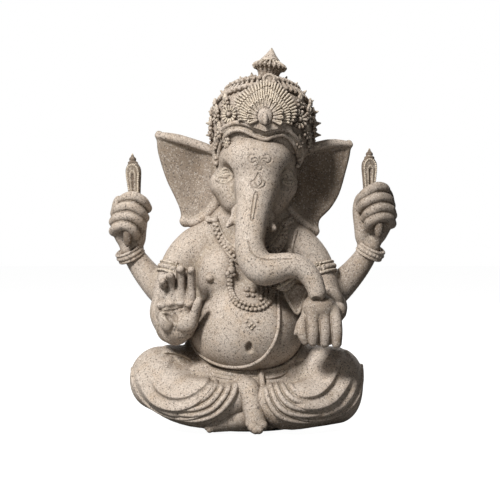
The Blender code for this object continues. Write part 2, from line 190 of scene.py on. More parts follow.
def line(stations, steps=4, closed=False):
    """Catmull-Rom points through the stations."""
    s = np.array(stations, float)
    ends = np.vstack([s[-1:], s, s[:2]]) if closed else np.vstack([2 * s[0] - s[1], s, 2 * s[-1] - s[-2]])
    points = []
    for a, b, c, d in zip(ends, ends[1:], ends[2:], ends[3:]):
        for t in np.arange(steps) / steps:
            points.append(
                0.5 * (
                    2 * b + (c - a) * t + (2 * a - 5 * b + 4 * c - d) * t**2 + (3 * b - a - 3 * c + d) * t**3
                )
            )
    points.append(points[0] if closed else s[-1])
    return np.array(points)


def sweep(stations, steps=4, closed=False):
    """A round tube through stations of x, y, z and radius."""
    s = line(stations, steps, closed) if steps > 1 or closed else np.array(stations, float)
    a, b = s[:-1], s[1:]
    lows = np.minimum(a[:, :3] - a[:, 3:], b[:, :3] - b[:, 3:])
    highs = np.maximum(a[:, :3] + a[:, 3:], b[:, :3] + b[:, 3:])

    def distance(p, low, high):
        total = np.full(p.shape[1], FAR)
        hit = np.all(lows - REACH <= high, axis=1) & np.all(highs + REACH >= low, axis=1)
        for start, end in zip(a[hit], b[hit]):
            along = end[:3] - start[:3]
            q = p - start[:3, None]
            t = np.clip((along @ q) / max(along @ along, 1e-9), 0, 1)
            q = q - along[:, None] * t
            gap = np.sqrt((q * q).sum(axis=0)) - (start[3] + (end[3] - start[3]) * t)
            np.minimum(total, gap, out=total)
        return total

    return Field(distance, lows.min(axis=0), highs.max(axis=0))


def outline_distance(x, z, outline):
    """Signed distance in a plane to a closed outline."""
    nearest = np.full(x.shape, FAR * FAR)
    inside = np.ones(x.shape)
    for (ax, az), (bx, bz) in zip(outline, np.roll(outline, 1, axis=0)):
        ex, ez = bx - ax, bz - az
        wx, wz = x - ax, z - az
        t = np.clip((wx * ex + wz * ez) / (ex * ex + ez * ez), 0, 1)
        nearest = np.minimum(nearest, (wx - ex * t) ** 2 + (wz - ez * t) ** 2)
        over, under, side = z >= az, z < bz, ex * wz > ez * wx
        inside = np.where((over & under & side) | ~(over | under | side), -inside, inside)
    return inside * np.sqrt(nearest)


def lathe(profile, foot, turn=(0, 0, 0), ribs=0, depth=0.0):
    """A turned solid from a profile of radius and height, with optional ribs round it."""
    axes = turning(turn)
    foot = np.array(foot, float)
    profile = np.array(profile, float)
    reach = np.abs(profile).max() + 1

    def distance(p, low, high):
        q = axes.T @ (p - foot[:, None])
        radius = np.hypot(q[0], q[1])
        flat = outline_distance(radius, q[2], profile)
        if ribs:
            flat = flat + depth * (0.5 - 0.5 * np.cos(ribs * np.arctan2(q[1], q[0])))
        return flat

    return Field(distance, foot - reach, foot + reach)


def slab(outline, y_middle, half):
    """An outline of x and z, made solid along Y to half on each side of the middle."""
    outline = np.array(outline, float)

    def distance(p, low, high):
        flat = outline_distance(p[0], p[2], outline)
        return np.maximum(flat, np.abs(p[1] - y_middle) - half)

    (x0, z0), (x1, z1) = outline.min(axis=0), outline.max(axis=0)
    return Field(distance, (x0, y_middle - half, z0), (x1, y_middle + half, z1))


def at(field, points, cell=6.0):
    """A field's distance at scattered points (N x 3), worked out cell by cell."""
    result = np.empty(len(points))
    keys = np.floor(points / cell).astype(np.int64)
    _, group = np.unique(keys, axis=0, return_inverse=True)
    order = np.argsort(group.reshape(-1), kind="stable")
    for chunk in np.split(order, np.cumsum(np.bincount(group.reshape(-1)))[:-1]):
        p = np.ascontiguousarray(points[chunk].T)
        result[chunk] = field.distance(p, p.min(axis=1) - 0.5, p.max(axis=1) + 0.5)
    return result


def laid(field, points, toward=(0, 1, 0), lift=0.0, span=70):
    """The points moved along a direction to where it first enters the field, then raised off it by lift."""
    points = np.array(points, float)
    toward = np.broadcast_to(np.array(toward, float), points.shape)
    toward = toward / np.linalg.norm(toward, axis=1)[:, None]
    steps = np.arange(-span, span, 0.8)
    probes = points[:, None, :] + toward[:, None, :] * steps[None, :, None]
    flat = probes.reshape(-1, 3).T
    values = field.distance(flat, flat.min(axis=1), flat.max(axis=1)).reshape(len(points), -1)
    placed = []
    for i, row in enumerate(values):
        inside = np.flatnonzero(row < 0)
        if len(inside) and inside[0]:
            k = inside[0]
            t = steps[k - 1] + 0.8 * row[k - 1] / (row[k - 1] - row[k])
        else:
            t = steps[np.argmin(row)]
        placed.append(points[i] + toward[i] * (t - lift))
    return np.array(placed)


def placed_on(field, places, toward=(0, 1, 0), lift=0.0):
    """Points laid on a field's front, or its back, from places of x and z."""
    return laid(field, [(x, 0, z) for x, z in places], toward, lift)


def front(field, places, radius, lift=0.0, steps=4):
    """Stations for a sweep laid on a field's front, from places of x and z. Each may have its own radius."""
    places = np.array(places, float)
    radii = np.broadcast_to(np.array(radius, float), (len(places),))
    flat = line(np.column_stack([places, radii]), steps) if steps > 1 else np.column_stack([places, radii])
    spots = placed_on(field, flat[:, :2], lift=lift)
    return np.column_stack([spots, flat[:, 2]])


def ridge(field, places, radius, lift=0.0):
    """A raised line on a field's front."""
    return sweep(front(field, places, radius, lift), steps=1)


def track_at(path, x, z):
    """How far places are from a path, on which side of it, and how far along it, from 0 to 1."""
    nearest, side, share = np.full(x.shape, FAR), np.ones(x.shape), np.zeros(x.shape)
    for k, ((ax, az), (bx, bz)) in enumerate(zip(path, path[1:])):
        ex, ez, wx, wz = bx - ax, bz - az, x - ax, z - az
        t = np.clip((wx * ex + wz * ez) / max(ex * ex + ez * ez, 1e-9), 0, 1)
        gap = np.hypot(wx - ex * t, wz - ez * t)
        closer = gap < nearest
        nearest = np.where(closer, gap, nearest)
        side = np.where(closer, ex * wz - ez * wx, side)
        share = np.where(closer, (k + t) / (len(path) - 1), share)
    return nearest, side, share


def relief(field, folds, face=0.0):
    """A field whose front, which lies before the plane y = face, is raised along folds.

    A fold has places of x and z, a height, and a width above and below its line.
    """
    folds = [(line(places, 4), height, upper, lower) for places, height, upper, lower in folds]

    def distance(p, low, high):
        total = field.distance(p, low, high)
        if low[1] > face:
            return total
        raised = np.zeros(p.shape[1])
        for path, height, upper, lower in folds:
            reach = 2.4 * max(upper, lower)
            (x0, z0), (x1, z1) = path.min(axis=0) - reach, path.max(axis=0) + reach
            if x0 > high[0] or x1 < low[0] or z0 > high[2] or z1 < low[2]:
                continue
            gap, side, share = track_at(path, p[0], p[2])
            bump = height * np.exp(-((gap / np.where(side > 0, upper, lower)) ** 2))
            raised += bump * np.clip(np.minimum(share, 1 - share) / 0.16, 0, 1)
        return total - raised * np.clip((face - p[1]) / 5, 0, 1)

    return Field(distance, field.low - 1.5, field.high + 1.5)


# ---------------------------------------------------------------- meshing

def meshed(field, voxel):
    """The field's skin: points in mm, and its triangles and quads."""
    side = BLOCK * voxel
    low = field.low - 2 * voxel
    counts = np.ceil((field.high + 2 * voxel - low) / side).astype(int)
    cells = np.stack(np.meshgrid(*[np.arange(k) for k in counts], indexing="ij"), axis=-1).reshape(-1, 3)
    middles = np.ascontiguousarray((low + (cells + 0.5) * side).T)
    rough = field.distance(middles, field.low - side, field.high + side)
    near = np.abs(rough) < side * 1.2
    band = 3 * voxel
    grid = np.empty(counts * BLOCK, np.float32)
    blocks = grid.reshape(counts[0], BLOCK, counts[1], BLOCK, counts[2], BLOCK)
    blocks[...] = np.where(rough < 0, -band, band).reshape(counts)[:, None, :, None, :, None]
    local = np.stack(np.meshgrid(*[np.arange(BLOCK)] * 3, indexing="ij")).reshape(3, -1) * voxel
    for cell in cells[near]:
        corner = low + cell * side
        values = field.distance(local + corner[:, None], corner - voxel, corner + side + voxel)
        i, j, k = cell * BLOCK
        grid[i:i + BLOCK, j:j + BLOCK, k:k + BLOCK] = values.reshape(BLOCK, BLOCK, BLOCK)
    np.clip(grid, -band, band, out=grid)
    volume = openvdb.FloatGrid(band)
    volume.copyFromArray(grid)
    points, triangles, quads = volume.convertToPolygons(isovalue=0.0, adaptivity=FLATNESS)
    return points * voxel + low, triangles, quads


def gradient(field, points, step):
    """The field's unit gradient at points."""
    axes = np.eye(3) * step
    slope = np.stack([at(field, points + axis) - at(field, points - axis) for axis in axes], axis=1)
    return slope / np.maximum(np.linalg.norm(slope, axis=1), 1e-9)[:, None]


def sculpt(node, field, slot="sandstone", voxel=FINE, extra_wash_and_shade=None, name=None, covers=()):
    """Meshes a field as the piece that stands for a CAD node, and for any node that it covers.

    An optional function says how much more wash and painted shade to lay where.
    """
    name = name or node + "_cast"
    nodes = [node, *covers]
    points, triangles, quads = meshed(field, voxel)
    normals = gradient(field, points, 0.6 * voxel)
    points = points - normals * np.clip(at(field, points), -voxel, voxel)[:, None]
    # hollow is low in hollows, where wash and painted shade go; edge is low on raised edges, where rubbed wear
    # and a painted highlight go
    hollow = np.clip(at(field, points + normals * HOLLOW_REACH) / HOLLOW_REACH, 0, 1)
    if extra_wash_and_shade:
        hollow = hollow * (1 - extra_wash_and_shade(points, normals))
    edge = np.clip(at(field, points - normals * EDGE_REACH) / -EDGE_REACH, 0, 1)
    mesh = bpy.data.meshes.new(name)
    faces = [*triangles.tolist(), *quads.tolist()]
    mesh.from_pydata(points * MM, [], faces)
    mesh.validate()
    mesh.shade_smooth()
    mesh.normals_split_custom_set_from_vertices(normals)
    for title, values in (("hollow", hollow), ("edge", edge)):
        layer = mesh.attributes.new(title, "FLOAT", "POINT")
        layer.data.foreach_set("value", values.astype(np.float32))
    obj = bpy.data.objects.new(name, mesh)
    bpy.context.scene.collection.objects.link(obj)
    mesh.materials.append(FINISH[slot])
    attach(obj, "root")
    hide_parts(*nodes)
    print(f"{name}: {len(mesh.polygons)} faces")


# ---------------------------------------------------------------- materials

class Nodes:
    """Adds nodes to a material, and links each input that is given as a socket."""

    def __init__(self, name):
        self.material = bpy.data.materials.new(name)
        self.material.use_nodes = True
        self.tree = self.material.node_tree
        self.shader = self.tree.nodes["Principled BSDF"]
        self.shader.inputs["Metallic"].default_value = 0.0

    def put(self, socket, value):
        if isinstance(value, bpy.types.NodeSocket):
            self.tree.links.new(value, socket)
        else:
            socket.default_value = value

    def add(self, kind, inputs=(), **settings):
        node = self.tree.nodes.new("ShaderNode" + kind)
        for key, value in settings.items():
            setattr(node, key, value)
        for key, value in dict(inputs).items():
            self.put(node.inputs[key], value)
        return node

    def noise(self, place, scale, detail=2.0, roughness=0.5):
        inputs = {"Vector": place, "Scale": scale, "Detail": detail, "Roughness": roughness}
        return self.add("TexNoise", inputs).outputs["Fac"]

    def ramp(self, value, low, high, start=0.0, end=1.0):
        inputs = {"Value": value, "From Min": low, "From Max": high, "To Min": start, "To Max": end}
        return self.add("MapRange", inputs, clamp=True).outputs["Result"]

    def mix(self, factor, a, b):
        node = self.add("Mix", data_type="RGBA")
        for socket, value in ((node.inputs[0], factor), (node.inputs[6], a), (node.inputs[7], b)):
            self.put(socket, value)
        return node.outputs[2]

    def math(self, operation, a, b):
        return self.add("Math", {0: a, 1: b}, operation=operation).outputs[0]


def colour(red, green, blue):
    return (red, green, blue, 1.0)


PALE, DEEP, RUSTY = colour(0.665, 0.58, 0.50), colour(0.555, 0.468, 0.385), colour(0.56, 0.425, 0.30)
# The brown for the hollows is a wash and painted shade; the pale edge colour is rubbed wear and a painted
# highlight.
WASH_AND_SHADE_BROWN, WORN_AND_HIGHLIGHT = colour(0.105, 0.070, 0.040), colour(0.80, 0.70, 0.56)
BROWN_GRAIN, BLACK_GRAIN = colour(0.20, 0.16, 0.13), colour(0.065, 0.055, 0.052)
WHITE_GRAIN, FINE_GRAIN = colour(0.90, 0.84, 0.76), colour(0.20, 0.16, 0.125)
GRAINS = 1750.0         # grains in a metre
DUST = 2600             # the finest speckle, to the metre
WASH_AND_SHADE_REACH = 0.016      # a wall this near holds wash and painted shade, in metres


def sandstone(name, wash_and_shade, worn_and_highlight):
    """Cast stone resin: bound grains of pale, brown and black sand, with a brown wash and painted shade in the
    hollows, and rubbed wear and a painted highlight on the edges.
    """
    n = Nodes(name)
    place = n.add("TexCoord").outputs["Object"]
    drift = n.noise(place, 60, 3)
    body = n.mix(n.ramp(drift, 0.35, 0.68), PALE, DEEP)
    body = n.mix(n.ramp(n.noise(place, 130, 4), 0.5, 0.75, 0.0, 0.5), body, RUSTY)
    hollow = n.add("Attribute", attribute_name="hollow").outputs["Fac"]
    edge = n.add("Attribute", attribute_name="edge").outputs["Fac"]
    # ambient occlusion: painted shade where other stone is near
    shade = n.add("AmbientOcclusion", {"Distance": WASH_AND_SHADE_REACH}, samples=6).outputs["AO"]
    open_air = n.math("MULTIPLY", n.ramp(hollow, 0.3, 1.0), n.ramp(shade, 0.3, 0.95))
    # the brown wash and painted shade gather in hollows and where the occlusion is deep
    wash_and_shade_mask = n.math("MULTIPLY", n.ramp(open_air, 0.0, 1.0, wash_and_shade, 0.0), n.ramp(drift, 0.25, 0.7, 0.8, 1.0))
    body = n.mix(wash_and_shade_mask, body, WASH_AND_SHADE_BROWN)
    # rubbed wear and a painted highlight on raised edges
    body = n.mix(n.ramp(edge, 0.35, 0.92, worn_and_highlight, 0.0), body, WORN_AND_HIGHLIGHT)
    swirl = n.add("TexNoise", {"Vector": place, "Scale": 1300.0, "Detail": 1.0}).outputs["Color"]
    shift = n.add("VectorMath", {0: swirl, "Scale": 0.0006}, operation="SCALE").outputs[0]
    warp = n.add("VectorMath", {0: place, 1: shift}, operation="ADD").outputs[0]
    cells = n.add("TexVoronoi", {"Vector": warp, "Scale": GRAINS}).outputs["Color"]
    sort = n.add("SeparateColor", {"Color": cells})
    body = n.mix(n.ramp(sort.outputs[0], 0.42, 0.26, 0.0, 0.42), body, BROWN_GRAIN)
    body = n.mix(n.ramp(sort.outputs[1], 0.115, 0.06, 0.0, 0.74), body, BLACK_GRAIN)
    white = n.ramp(sort.outputs[2], 0.84, 0.92, 0.0, 0.55)
    body = n.mix(white, body, n.mix(0.6, body, WHITE_GRAIN))
    fine = n.noise(place, DUST, 2)
    body = n.mix(n.ramp(fine, 0.40, 0.70, 0.0, 0.35), body, n.mix(0.6, body, FINE_GRAIN))
    n.put(n.shader.inputs["Base Color"], body)
    n.put(n.shader.inputs["Roughness"], n.ramp(fine, 0.3, 0.7, 0.76, 0.92))
    n.shader.inputs["Specular IOR Level"].default_value = 0.25
    grit = n.math("ADD", n.math("MULTIPLY", fine, 0.7), n.math("MULTIPLY", sort.outputs[1], 0.5))
    bump = n.add("Bump", {"Strength": 0.4, "Distance": 0.00035, "Height": grit})
    n.put(n.shader.inputs["Normal"], bump.outputs["Normal"])
    return n.material


def felt(name):
    """Short black-green felt pile."""
    n = Nodes(name)
    place = n.add("TexCoord").outputs["Object"]
    fibres = n.noise(place, 1800, 4, 0.7)
    n.put(
        n.shader.inputs["Base Color"],
        n.mix(n.ramp(fibres, 0.3, 0.7), colour(0.012, 0.014, 0.012), colour(0.05, 0.055, 0.05)),
    )
    n.put(n.shader.inputs["Roughness"], n.ramp(fibres, 0.3, 0.7, 0.85, 1.0))
    bump = n.add("Bump", {"Strength": 0.6, "Distance": 0.0005, "Height": fibres})
    n.put(n.shader.inputs["Normal"], bump.outputs["Normal"])
    return n.material


FINISH = {
    # the carved stone gets more wash and painted shade, and a stronger painted highlight on its edges
    "sandstone": sandstone("sandstone_cast", 0.8, 0.5),
    "carved_sandstone": sandstone("sandstone_carved", 0.85, 0.85),
    "felt": felt("felt_pile"),
}


# ---------------------------------------------------------------- shared forms

def mirrored(stations, side):
    """Stations or places given for the figure's left, moved to a side."""
    return [(s[0] * side, *s[1:]) for s in stations]


CROWN_LOW, CROWN_HIGH = (np.array(corner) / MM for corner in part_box("crown_cap"))
CROWN = np.array([
    (CROWN_LOW[0] + CROWN_HIGH[0]) / 2, (CROWN_LOW[1] + CROWN_HIGH[1]) / 2, CROWN_HIGH[2] - 30,
])

body_form = join([
    join([
        ball((0, -12.5, 56.3), (32.5, 29.5, 26.3)), ball((0, -2, 90), (29, 19, 22)),
        ball((0, 8, 72), (35, 19, 34)), ball((3, 0, 121), (21, 14, 13)),
        ball((27, 1, 100.5), (14, 12, 12.6)), ball((-27, 1, 100.5), (14, 12, 12.6)),
        ball((19, 3, 110), (15, 12, 11), (0, 20, 0)), ball((-16, 3, 111), (15, 12, 11), (0, -20, 0)),
    ], 9),
    ball((-15, -13, 86), (13.5, 13.5, 16)), ball((15, -13, 86), (13.5, 13.5, 16)),
], 4)
seat_form = above(join([
    ball((0, 6, 20), (45, 34, 27)), ball((0, -8, 16), (36, 26, 22)),
    ball((-23, 5, 40), (14, 18, 17)), ball((23, 5, 40), (14, 18, 17)),
    ball((-21, -9, 31), (13, 15, 11)), ball((22, -9, 31), (13, 15, 11)), ball((0, -14, 25), (22, 18, 9)),
], 6), FLOOR)
LEGS = {
    RIGHT: (
        [(-18, 4, 28, 17), (-36, -3, 28.4, 17.6), (-49.6, -8, 29.4, 16.6)],
        [(-50.5, -15, 25, 13.6), (-37, -26, 18.4, 13.2), (-21, -33, 15.5, 12), (-8, -34.5, 19, 9)],
    ),
    LEFT: (
        [(18, 4, 28, 17), (36, -3, 28.4, 17.6), (49.6, -8, 29, 17)],
        [(50.4, -12, 16.4, 14), (37, -25, 15.6, 13), (21, -33, 14.6, 12), (10, -34.5, 18, 9)],
    ),
}
leg_forms = {side: above(join([sweep(limb) for limb in limbs], 9), FLOOR) for side, limbs in LEGS.items()}
foot_forms = {
    RIGHT: sweep([
        (-2.6, -29, 26.5, 6.4), (0.8, -34.6, 23.6, 7.0), (3.0, -38.6, 17, 6.0), (4.7, -40.6, 9.5, 5.7),
        (5.0, -41.4, 6.6, 5.0),
    ]),
    LEFT: sweep([(12, -29, 9.5, 8), (-2, -33, 9.4, 7.6), (-11, -35, 8.4, 6.6), (-17.8, -36.4, 6.9, 5.3)]),
}
head_form = join([
    ball((5.8, -12, 153.5), (21.5, 23, 14.5)), ball((-11, -7, 139.4), (10.6, 12, 9.6)),
    ball((18.4, -7, 138.6), (10.6, 12, 10)),
    ball((-6.4, -9, 130), (8.4, 12, 8.6)), ball((13.4, -9, 129.4), (9, 12, 9)),
    ball((6, 0, 151), (22.5, 23, 21)),
], 6)
TRUNK = [
    (6.4, -15, 152, 17.5), (6.2, -21, 142, 13.9), (5, -27, 131, 10.9), (3, -32.4, 120, 9.1),
    (1.9, -36.3, 110, 8.3), (1.9, -38.5, 103, 8.2), (4, -39.5, 96, 8.8), (8.6, -40.5, 91.4, 9.1),
    (15, -41.5, 91.4, 8.2), (21, -42.5, 92.8, 7.2), (27, -43, 92.6, 6.6), (32, -43.3, 89.6, 6.0),
    (35.6, -43.8, 85, 5.5), (37.4, -44.2, 80.8, 5.1), (38.0, -44.4, 78.6, 4.9),
]
trunk_form = sweep(TRUNK, 6)


def upper_arm_form(side):
    return sweep(
        mirrored([
            (30, 1, 101, 11.8), (37, 0, 95, 11.6), (41.2, -2, 85, 10.9), (44, -5, 74, 10.4),
            (44.5, -8, 66, 10.4),
        ], side)
    )


arm_forms = {side: upper_arm_form(side) for _, side in SIDES}
crown_form = above(ball(CROWN, (29, 28, 30)), 156)


# ---------------------------------------------------------------- ornament

def bead_row(stations, spacing, radius):
    """Beads along a path of x, y, z."""
    path = line([(*s[:3], radius) for s in stations], 12)
    gaps = np.linalg.norm(np.diff(path[:, :3], axis=0), axis=1)
    reach = np.concatenate([[0], np.cumsum(gaps)])
    marks = np.linspace(0, reach[-1], max(2, round(reach[-1] / spacing) + 1))
    spots = np.column_stack([np.interp(marks, reach, path[:, k]) for k in range(3)])
    return beads([(*spot, radius) for spot in spots])


def beads(stations):
    """Balls at stations of x, y, z and radius."""
    s = np.array(stations, float)
    lows, highs = s[:, :3] - s[:, 3:], s[:, :3] + s[:, 3:]

    def distance(p, low, high):
        total = np.full(p.shape[1], FAR)
        hit = np.all(lows - 3 * PAD <= high, axis=1) & np.all(highs + 3 * PAD >= low, axis=1)
        for x, y, z, radius in s[hit]:
            gap = np.sqrt((p[0] - x) ** 2 + (p[1] - y) ** 2 + (p[2] - z) ** 2) - radius
            np.minimum(total, gap, out=total)
        return total

    return Field(distance, lows.min(axis=0), highs.max(axis=0))


def across(facing):
    """Two directions square to a facing, the second as near to up as can be."""
    facing = np.array(facing, float) / np.linalg.norm(facing)
    side = np.cross(facing, (0, 0, 1.0))
    if np.linalg.norm(side) < 1e-3:
        side = np.array([1.0, 0, 0])
    side /= np.linalg.norm(side)
    return facing, side, np.cross(side, facing)


def hoop(centre, along, radius, tube, count=28):
    """Stations of a closed ring about an axis."""
    _, side, up = across(along)
    turns = np.arange(count) * math.tau / count
    centre = np.array(centre, float)
    return [(*(centre + side * radius * math.cos(t) + up * radius * math.sin(t)), tube) for t in turns]


def ring(centre, along, radius, tube, **settings):
    """A round hoop about an axis."""
    return sweep(hoop(centre, along, radius, tube, **settings), 2, True)


def flower(centre, facing, radius, petals, thick=0.7):
    """A round flower: separate petals about a raised heart in a sunk ring."""
    facing, side, up = across(facing)
    centre = np.array(centre, float)
    parts = []
    for k in range(petals):
        turn = math.tau * (k + 0.5) / petals
        out = side * math.cos(turn) + up * math.sin(turn)
        inner = (*(centre + out * radius * 0.52 + facing * 0.2), thick * 0.7)
        outer = (*(centre + out * radius * 0.86 + facing * 0.5), thick * 1.05)
        parts.append(sweep([inner, outer], 1))
    disc = [(*(centre - facing * depth), radius * 0.8) for depth in (radius * 0.8 + 0.9, radius * 0.8 + 0.4)]
    return join([sweep(disc, 1), join(parts, 0.1), ball(centre + facing * 0.6, radius * 0.27)], 0.2)


# ---------------------------------------------------------------- body

def make_torso():
    parts = [body_form]
    for side in (RIGHT, LEFT):
        spot = placed_on(body_form, [(20.8 * side, 85.8)], lift=0.7)[0]
        parts.append(ball(spot, (2.3, 2.1, 2.1)))
    body = join(parts, 1.2)
    navel = placed_on(body_form, [(1.4, 48.2)])[0]
    body = cut(body, ball(navel, (1.7, 3.2, 2.9)), 1.6)
    spine = placed_on(body_form, [(2, 108), (1, 92), (0, 74), (0, 58), (0, 46)], BACKWARD, 0.6)
    body = cut(body, sweep([(*spot, 1.3) for spot in spine]), 3)
    for side in (RIGHT, LEFT):
        flank = placed_on(body_form, mirrored([(16, 103), (19, 95), (17, 87)], side), BACKWARD, 0.3)
        body = cut(body, sweep([(*spot, 1.0) for spot in flank]), 3)
    marks = ((-0.2, 62.7), (2.7, 61.2), (5.7, 62.7), (1.5, 60.2), (4.0, 60.2), (2.7, 58.8))
    dots = [(*spot, 0.75) for spot in placed_on(body_form, marks, lift=0.1)]
    body = join([body, beads(dots)], 0.4)
    sculpt("torso", body)


def make_seat():
    folds = []
    for x, drop in ((-24, 5), (-15, 2), (-6, 0), (3, 0), (12, 2), (21, 5)):
        route = [(x * 0.7, 43 - drop), (x * 0.95, 34), (x * 1.25, 22), (x * 1.4, 10)]
        folds.append(sweep([(*spot, 2.2) for spot in placed_on(seat_form, route, BACKWARD, -0.9)]))
    hem = [
        ([(-34.6, 54), (-32.4, 47), (-27, 41), (-19, 36.5)], 1.2, 1.2, 0.8),
        ([(-38, 52), (-35.6, 45.6), (-30, 39.4)], 1.0, 1.2, 0.8),
        ([(34.6, 52), (32, 46), (27, 40.6), (19, 36.5)], 1.2, 1.2, 1.2),
        ([(-4, 30), (-3, 22), (-5, 12)], 1.0, 1.6, 1.6), ([(12, 30), (12.6, 22), (14, 14)], 1.0, 1.6, 1.6),
    ]
    seat = relief(join([seat_form, join(folds, 1)], 3.5), hem, 6.0)
    sculpt("seat", above(seat, FLOOR), voxel=BROAD, covers=["filling_plug"])


def between(first, last, count):
    """Routes spread evenly from a first to a last one."""
    first, last = np.array(first, float), np.array(last, float)
    return [first + (last - first) * t for t in np.linspace(0, 1, count)]


FOLDS = {
    RIGHT: {
        "border": [(-65.2, 34), (-63.2, 25), (-56.6, 16), (-47, 10.8), (-35, 9.2), (-26, 11.6), (-20, 15.6)],
        "soft": [
            ([
                (-53.5, 32), (-49.4, 25.4), (-43, 22), (-36, 21.8), (-29, 24.4), (-22.6, 29.4),
                (-18.6, 34.6),
            ], 2.6, 5.0, 1.6),
            ([
                (-58.5, 25), (-52.6, 18), (-45, 15), (-36, 15), (-27, 19.2), (-20, 26.4), (-16.8, 32),
            ], 2.4, 4.2, 1.4),
            ([(-61.6, 33), (-58.4, 23.4), (-51.6, 15.2), (-43, 11.4), (-34, 11.2)], 1.5, 3.0, 1.5),
            ([(-49, 44), (-42, 43.6), (-35.4, 41.6), (-29.6, 38)], 1.8, 3.0, 1.0),
            ([(-44, 38.6), (-37, 36.4), (-30, 36.6)], -1.3, 2.4, 2.4),
        ],
        "hem": (
            [(-18.4, 36), (-20.4, 28.8), (-26, 23.4), (-34, 21.2), (-43, 21.6)],
            [(-5.0, 32), (-7.6, 22.6), (-16, 13.2), (-27, 8.8), (-38, 8.6)],
        ),
    },
    LEFT: {
        "border": [(66, 35), (65, 25), (60.4, 15.6), (51.6, 9.8), (40, 8), (29.6, 9.8), (22.6, 14)],
        "soft": [
            ([(50.6, 41), (50, 34), (45.6, 27.2), (38.9, 23), (31.2, 22.4), (24.6, 25.6)], 2.6, 1.6, 5.0),
            ([(59, 32), (56, 26), (50.4, 19.6), (42.8, 16), (32.5, 15.6), (25, 19.4)], 2.4, 1.4, 4.2),
            ([(62.4, 34), (61, 24), (55, 15.4), (46, 11.2), (37, 10.4)], 1.5, 1.5, 3.0),
            ([(34, 41), (27, 39), (21.4, 35), (17.6, 30)], 1.6, 1.2, 3.0),
            ([(58, 43), (53, 40.6), (47, 41)], -1.2, 2.6, 2.6),
        ],
        "hem": (
            [(19.6, 33.4), (23.4, 27), (29, 23), (37, 21.6), (44, 25)],
            [(10.0, 27), (12.6, 18.4), (18.6, 11.4), (30, 7.8), (42, 7.4)],
        ),
    },
}


def make_legs():
    for name, side in SIDES:
        form, folds = leg_forms[side], FOLDS[side]
        leg = relief(form, folds["soft"], 0.0)
        leg = join([leg, ridge(form, folds["border"], 1.0, 0.25)], 1.0)
        sculpt(name + "_leg", above(blended(leg, [seat_form], 4), FLOOR))
        pleats = []
        for k, route in enumerate(between(*folds["hem"], 5)):
            laid_on = front(form, route, 1.5, 0.75 + 0.1 * k)
            along = np.linspace(0, 1, len(laid_on))
            laid_on[:, 3] *= np.interp(along, (0, 0.15, 0.45, 1), (0.75, 1.0, 1.0, 0.35))
            laid_on[:, 1] += np.interp(along, (0, 0.45, 1), (0, 0, 0.9))
            pleats.append(sweep(laid_on, 1))
        sculpt(name + "_hem", blended(join(pleats, 0.5), [form], 2.2))


def make_feet():
    toes = beads([
        (1.3, -43.6, 7.4, 1.7), (2.8, -44.9, 5.4, 1.8), (4.7, -45.5, 4.2, 2.0), (6.7, -45.2, 4.3, 2.1),
        (8.7, -43.9, 6.6, 2.6),
    ])
    ankle = ball((-4.4, -37.4, 25.5), (2.4, 2.2, 2.6))
    foot = join([join([foot_forms[RIGHT], ankle], 3), toes], 2.2)
    sculpt("right_foot", above(foot, FLOOR))
    toes = beads([
        (-20.8, -34.6, 10.4, 2.0), (-21.9, -36.8, 8.6, 1.9), (-22.0, -38.2, 6.6, 1.8),
        (-21.6, -39.2, 4.8, 1.7), (-20.4, -39.6, 3.4, 1.6),
    ])
    foot = join([foot_forms[LEFT], toes], 1.8)
    sculpt("left_foot", above(foot, FLOOR))


def make_waist():
    upper = [
        (-25, -18, 36.8, 0.9), (-16, -25, 34.8, 1.0), (-6, -28.2, 33.8, 1.0), (6, -28.2, 33.8, 1.0),
        (17, -25.4, 35.2, 1.0), (26, -19, 38.6, 0.9),
    ]
    rolls = [sweep([(x, y - 0.7 * k, z - 2.0 * k, r) for x, y, z, r in upper]) for k in range(3)]
    core = [(x, y + 3.4, z - 2.0, 3.8) for x, y, z, _ in upper]
    drop = [(8.0, -29.4, 34, 1.3), (8.2, -31.6, 30, 1.7), (8.8, -34.6, 24, 1.8), (9.4, -36, 19, 1.4)]
    band = join([sweep(core), *rolls], 0.7)
    sculpt("waist_band", join([band, sweep(drop)], 1.0))


# ---------------------------------------------------------------- head

EYES = {RIGHT: (-12.2, 142.6), LEFT: (23.2, 141.6)}


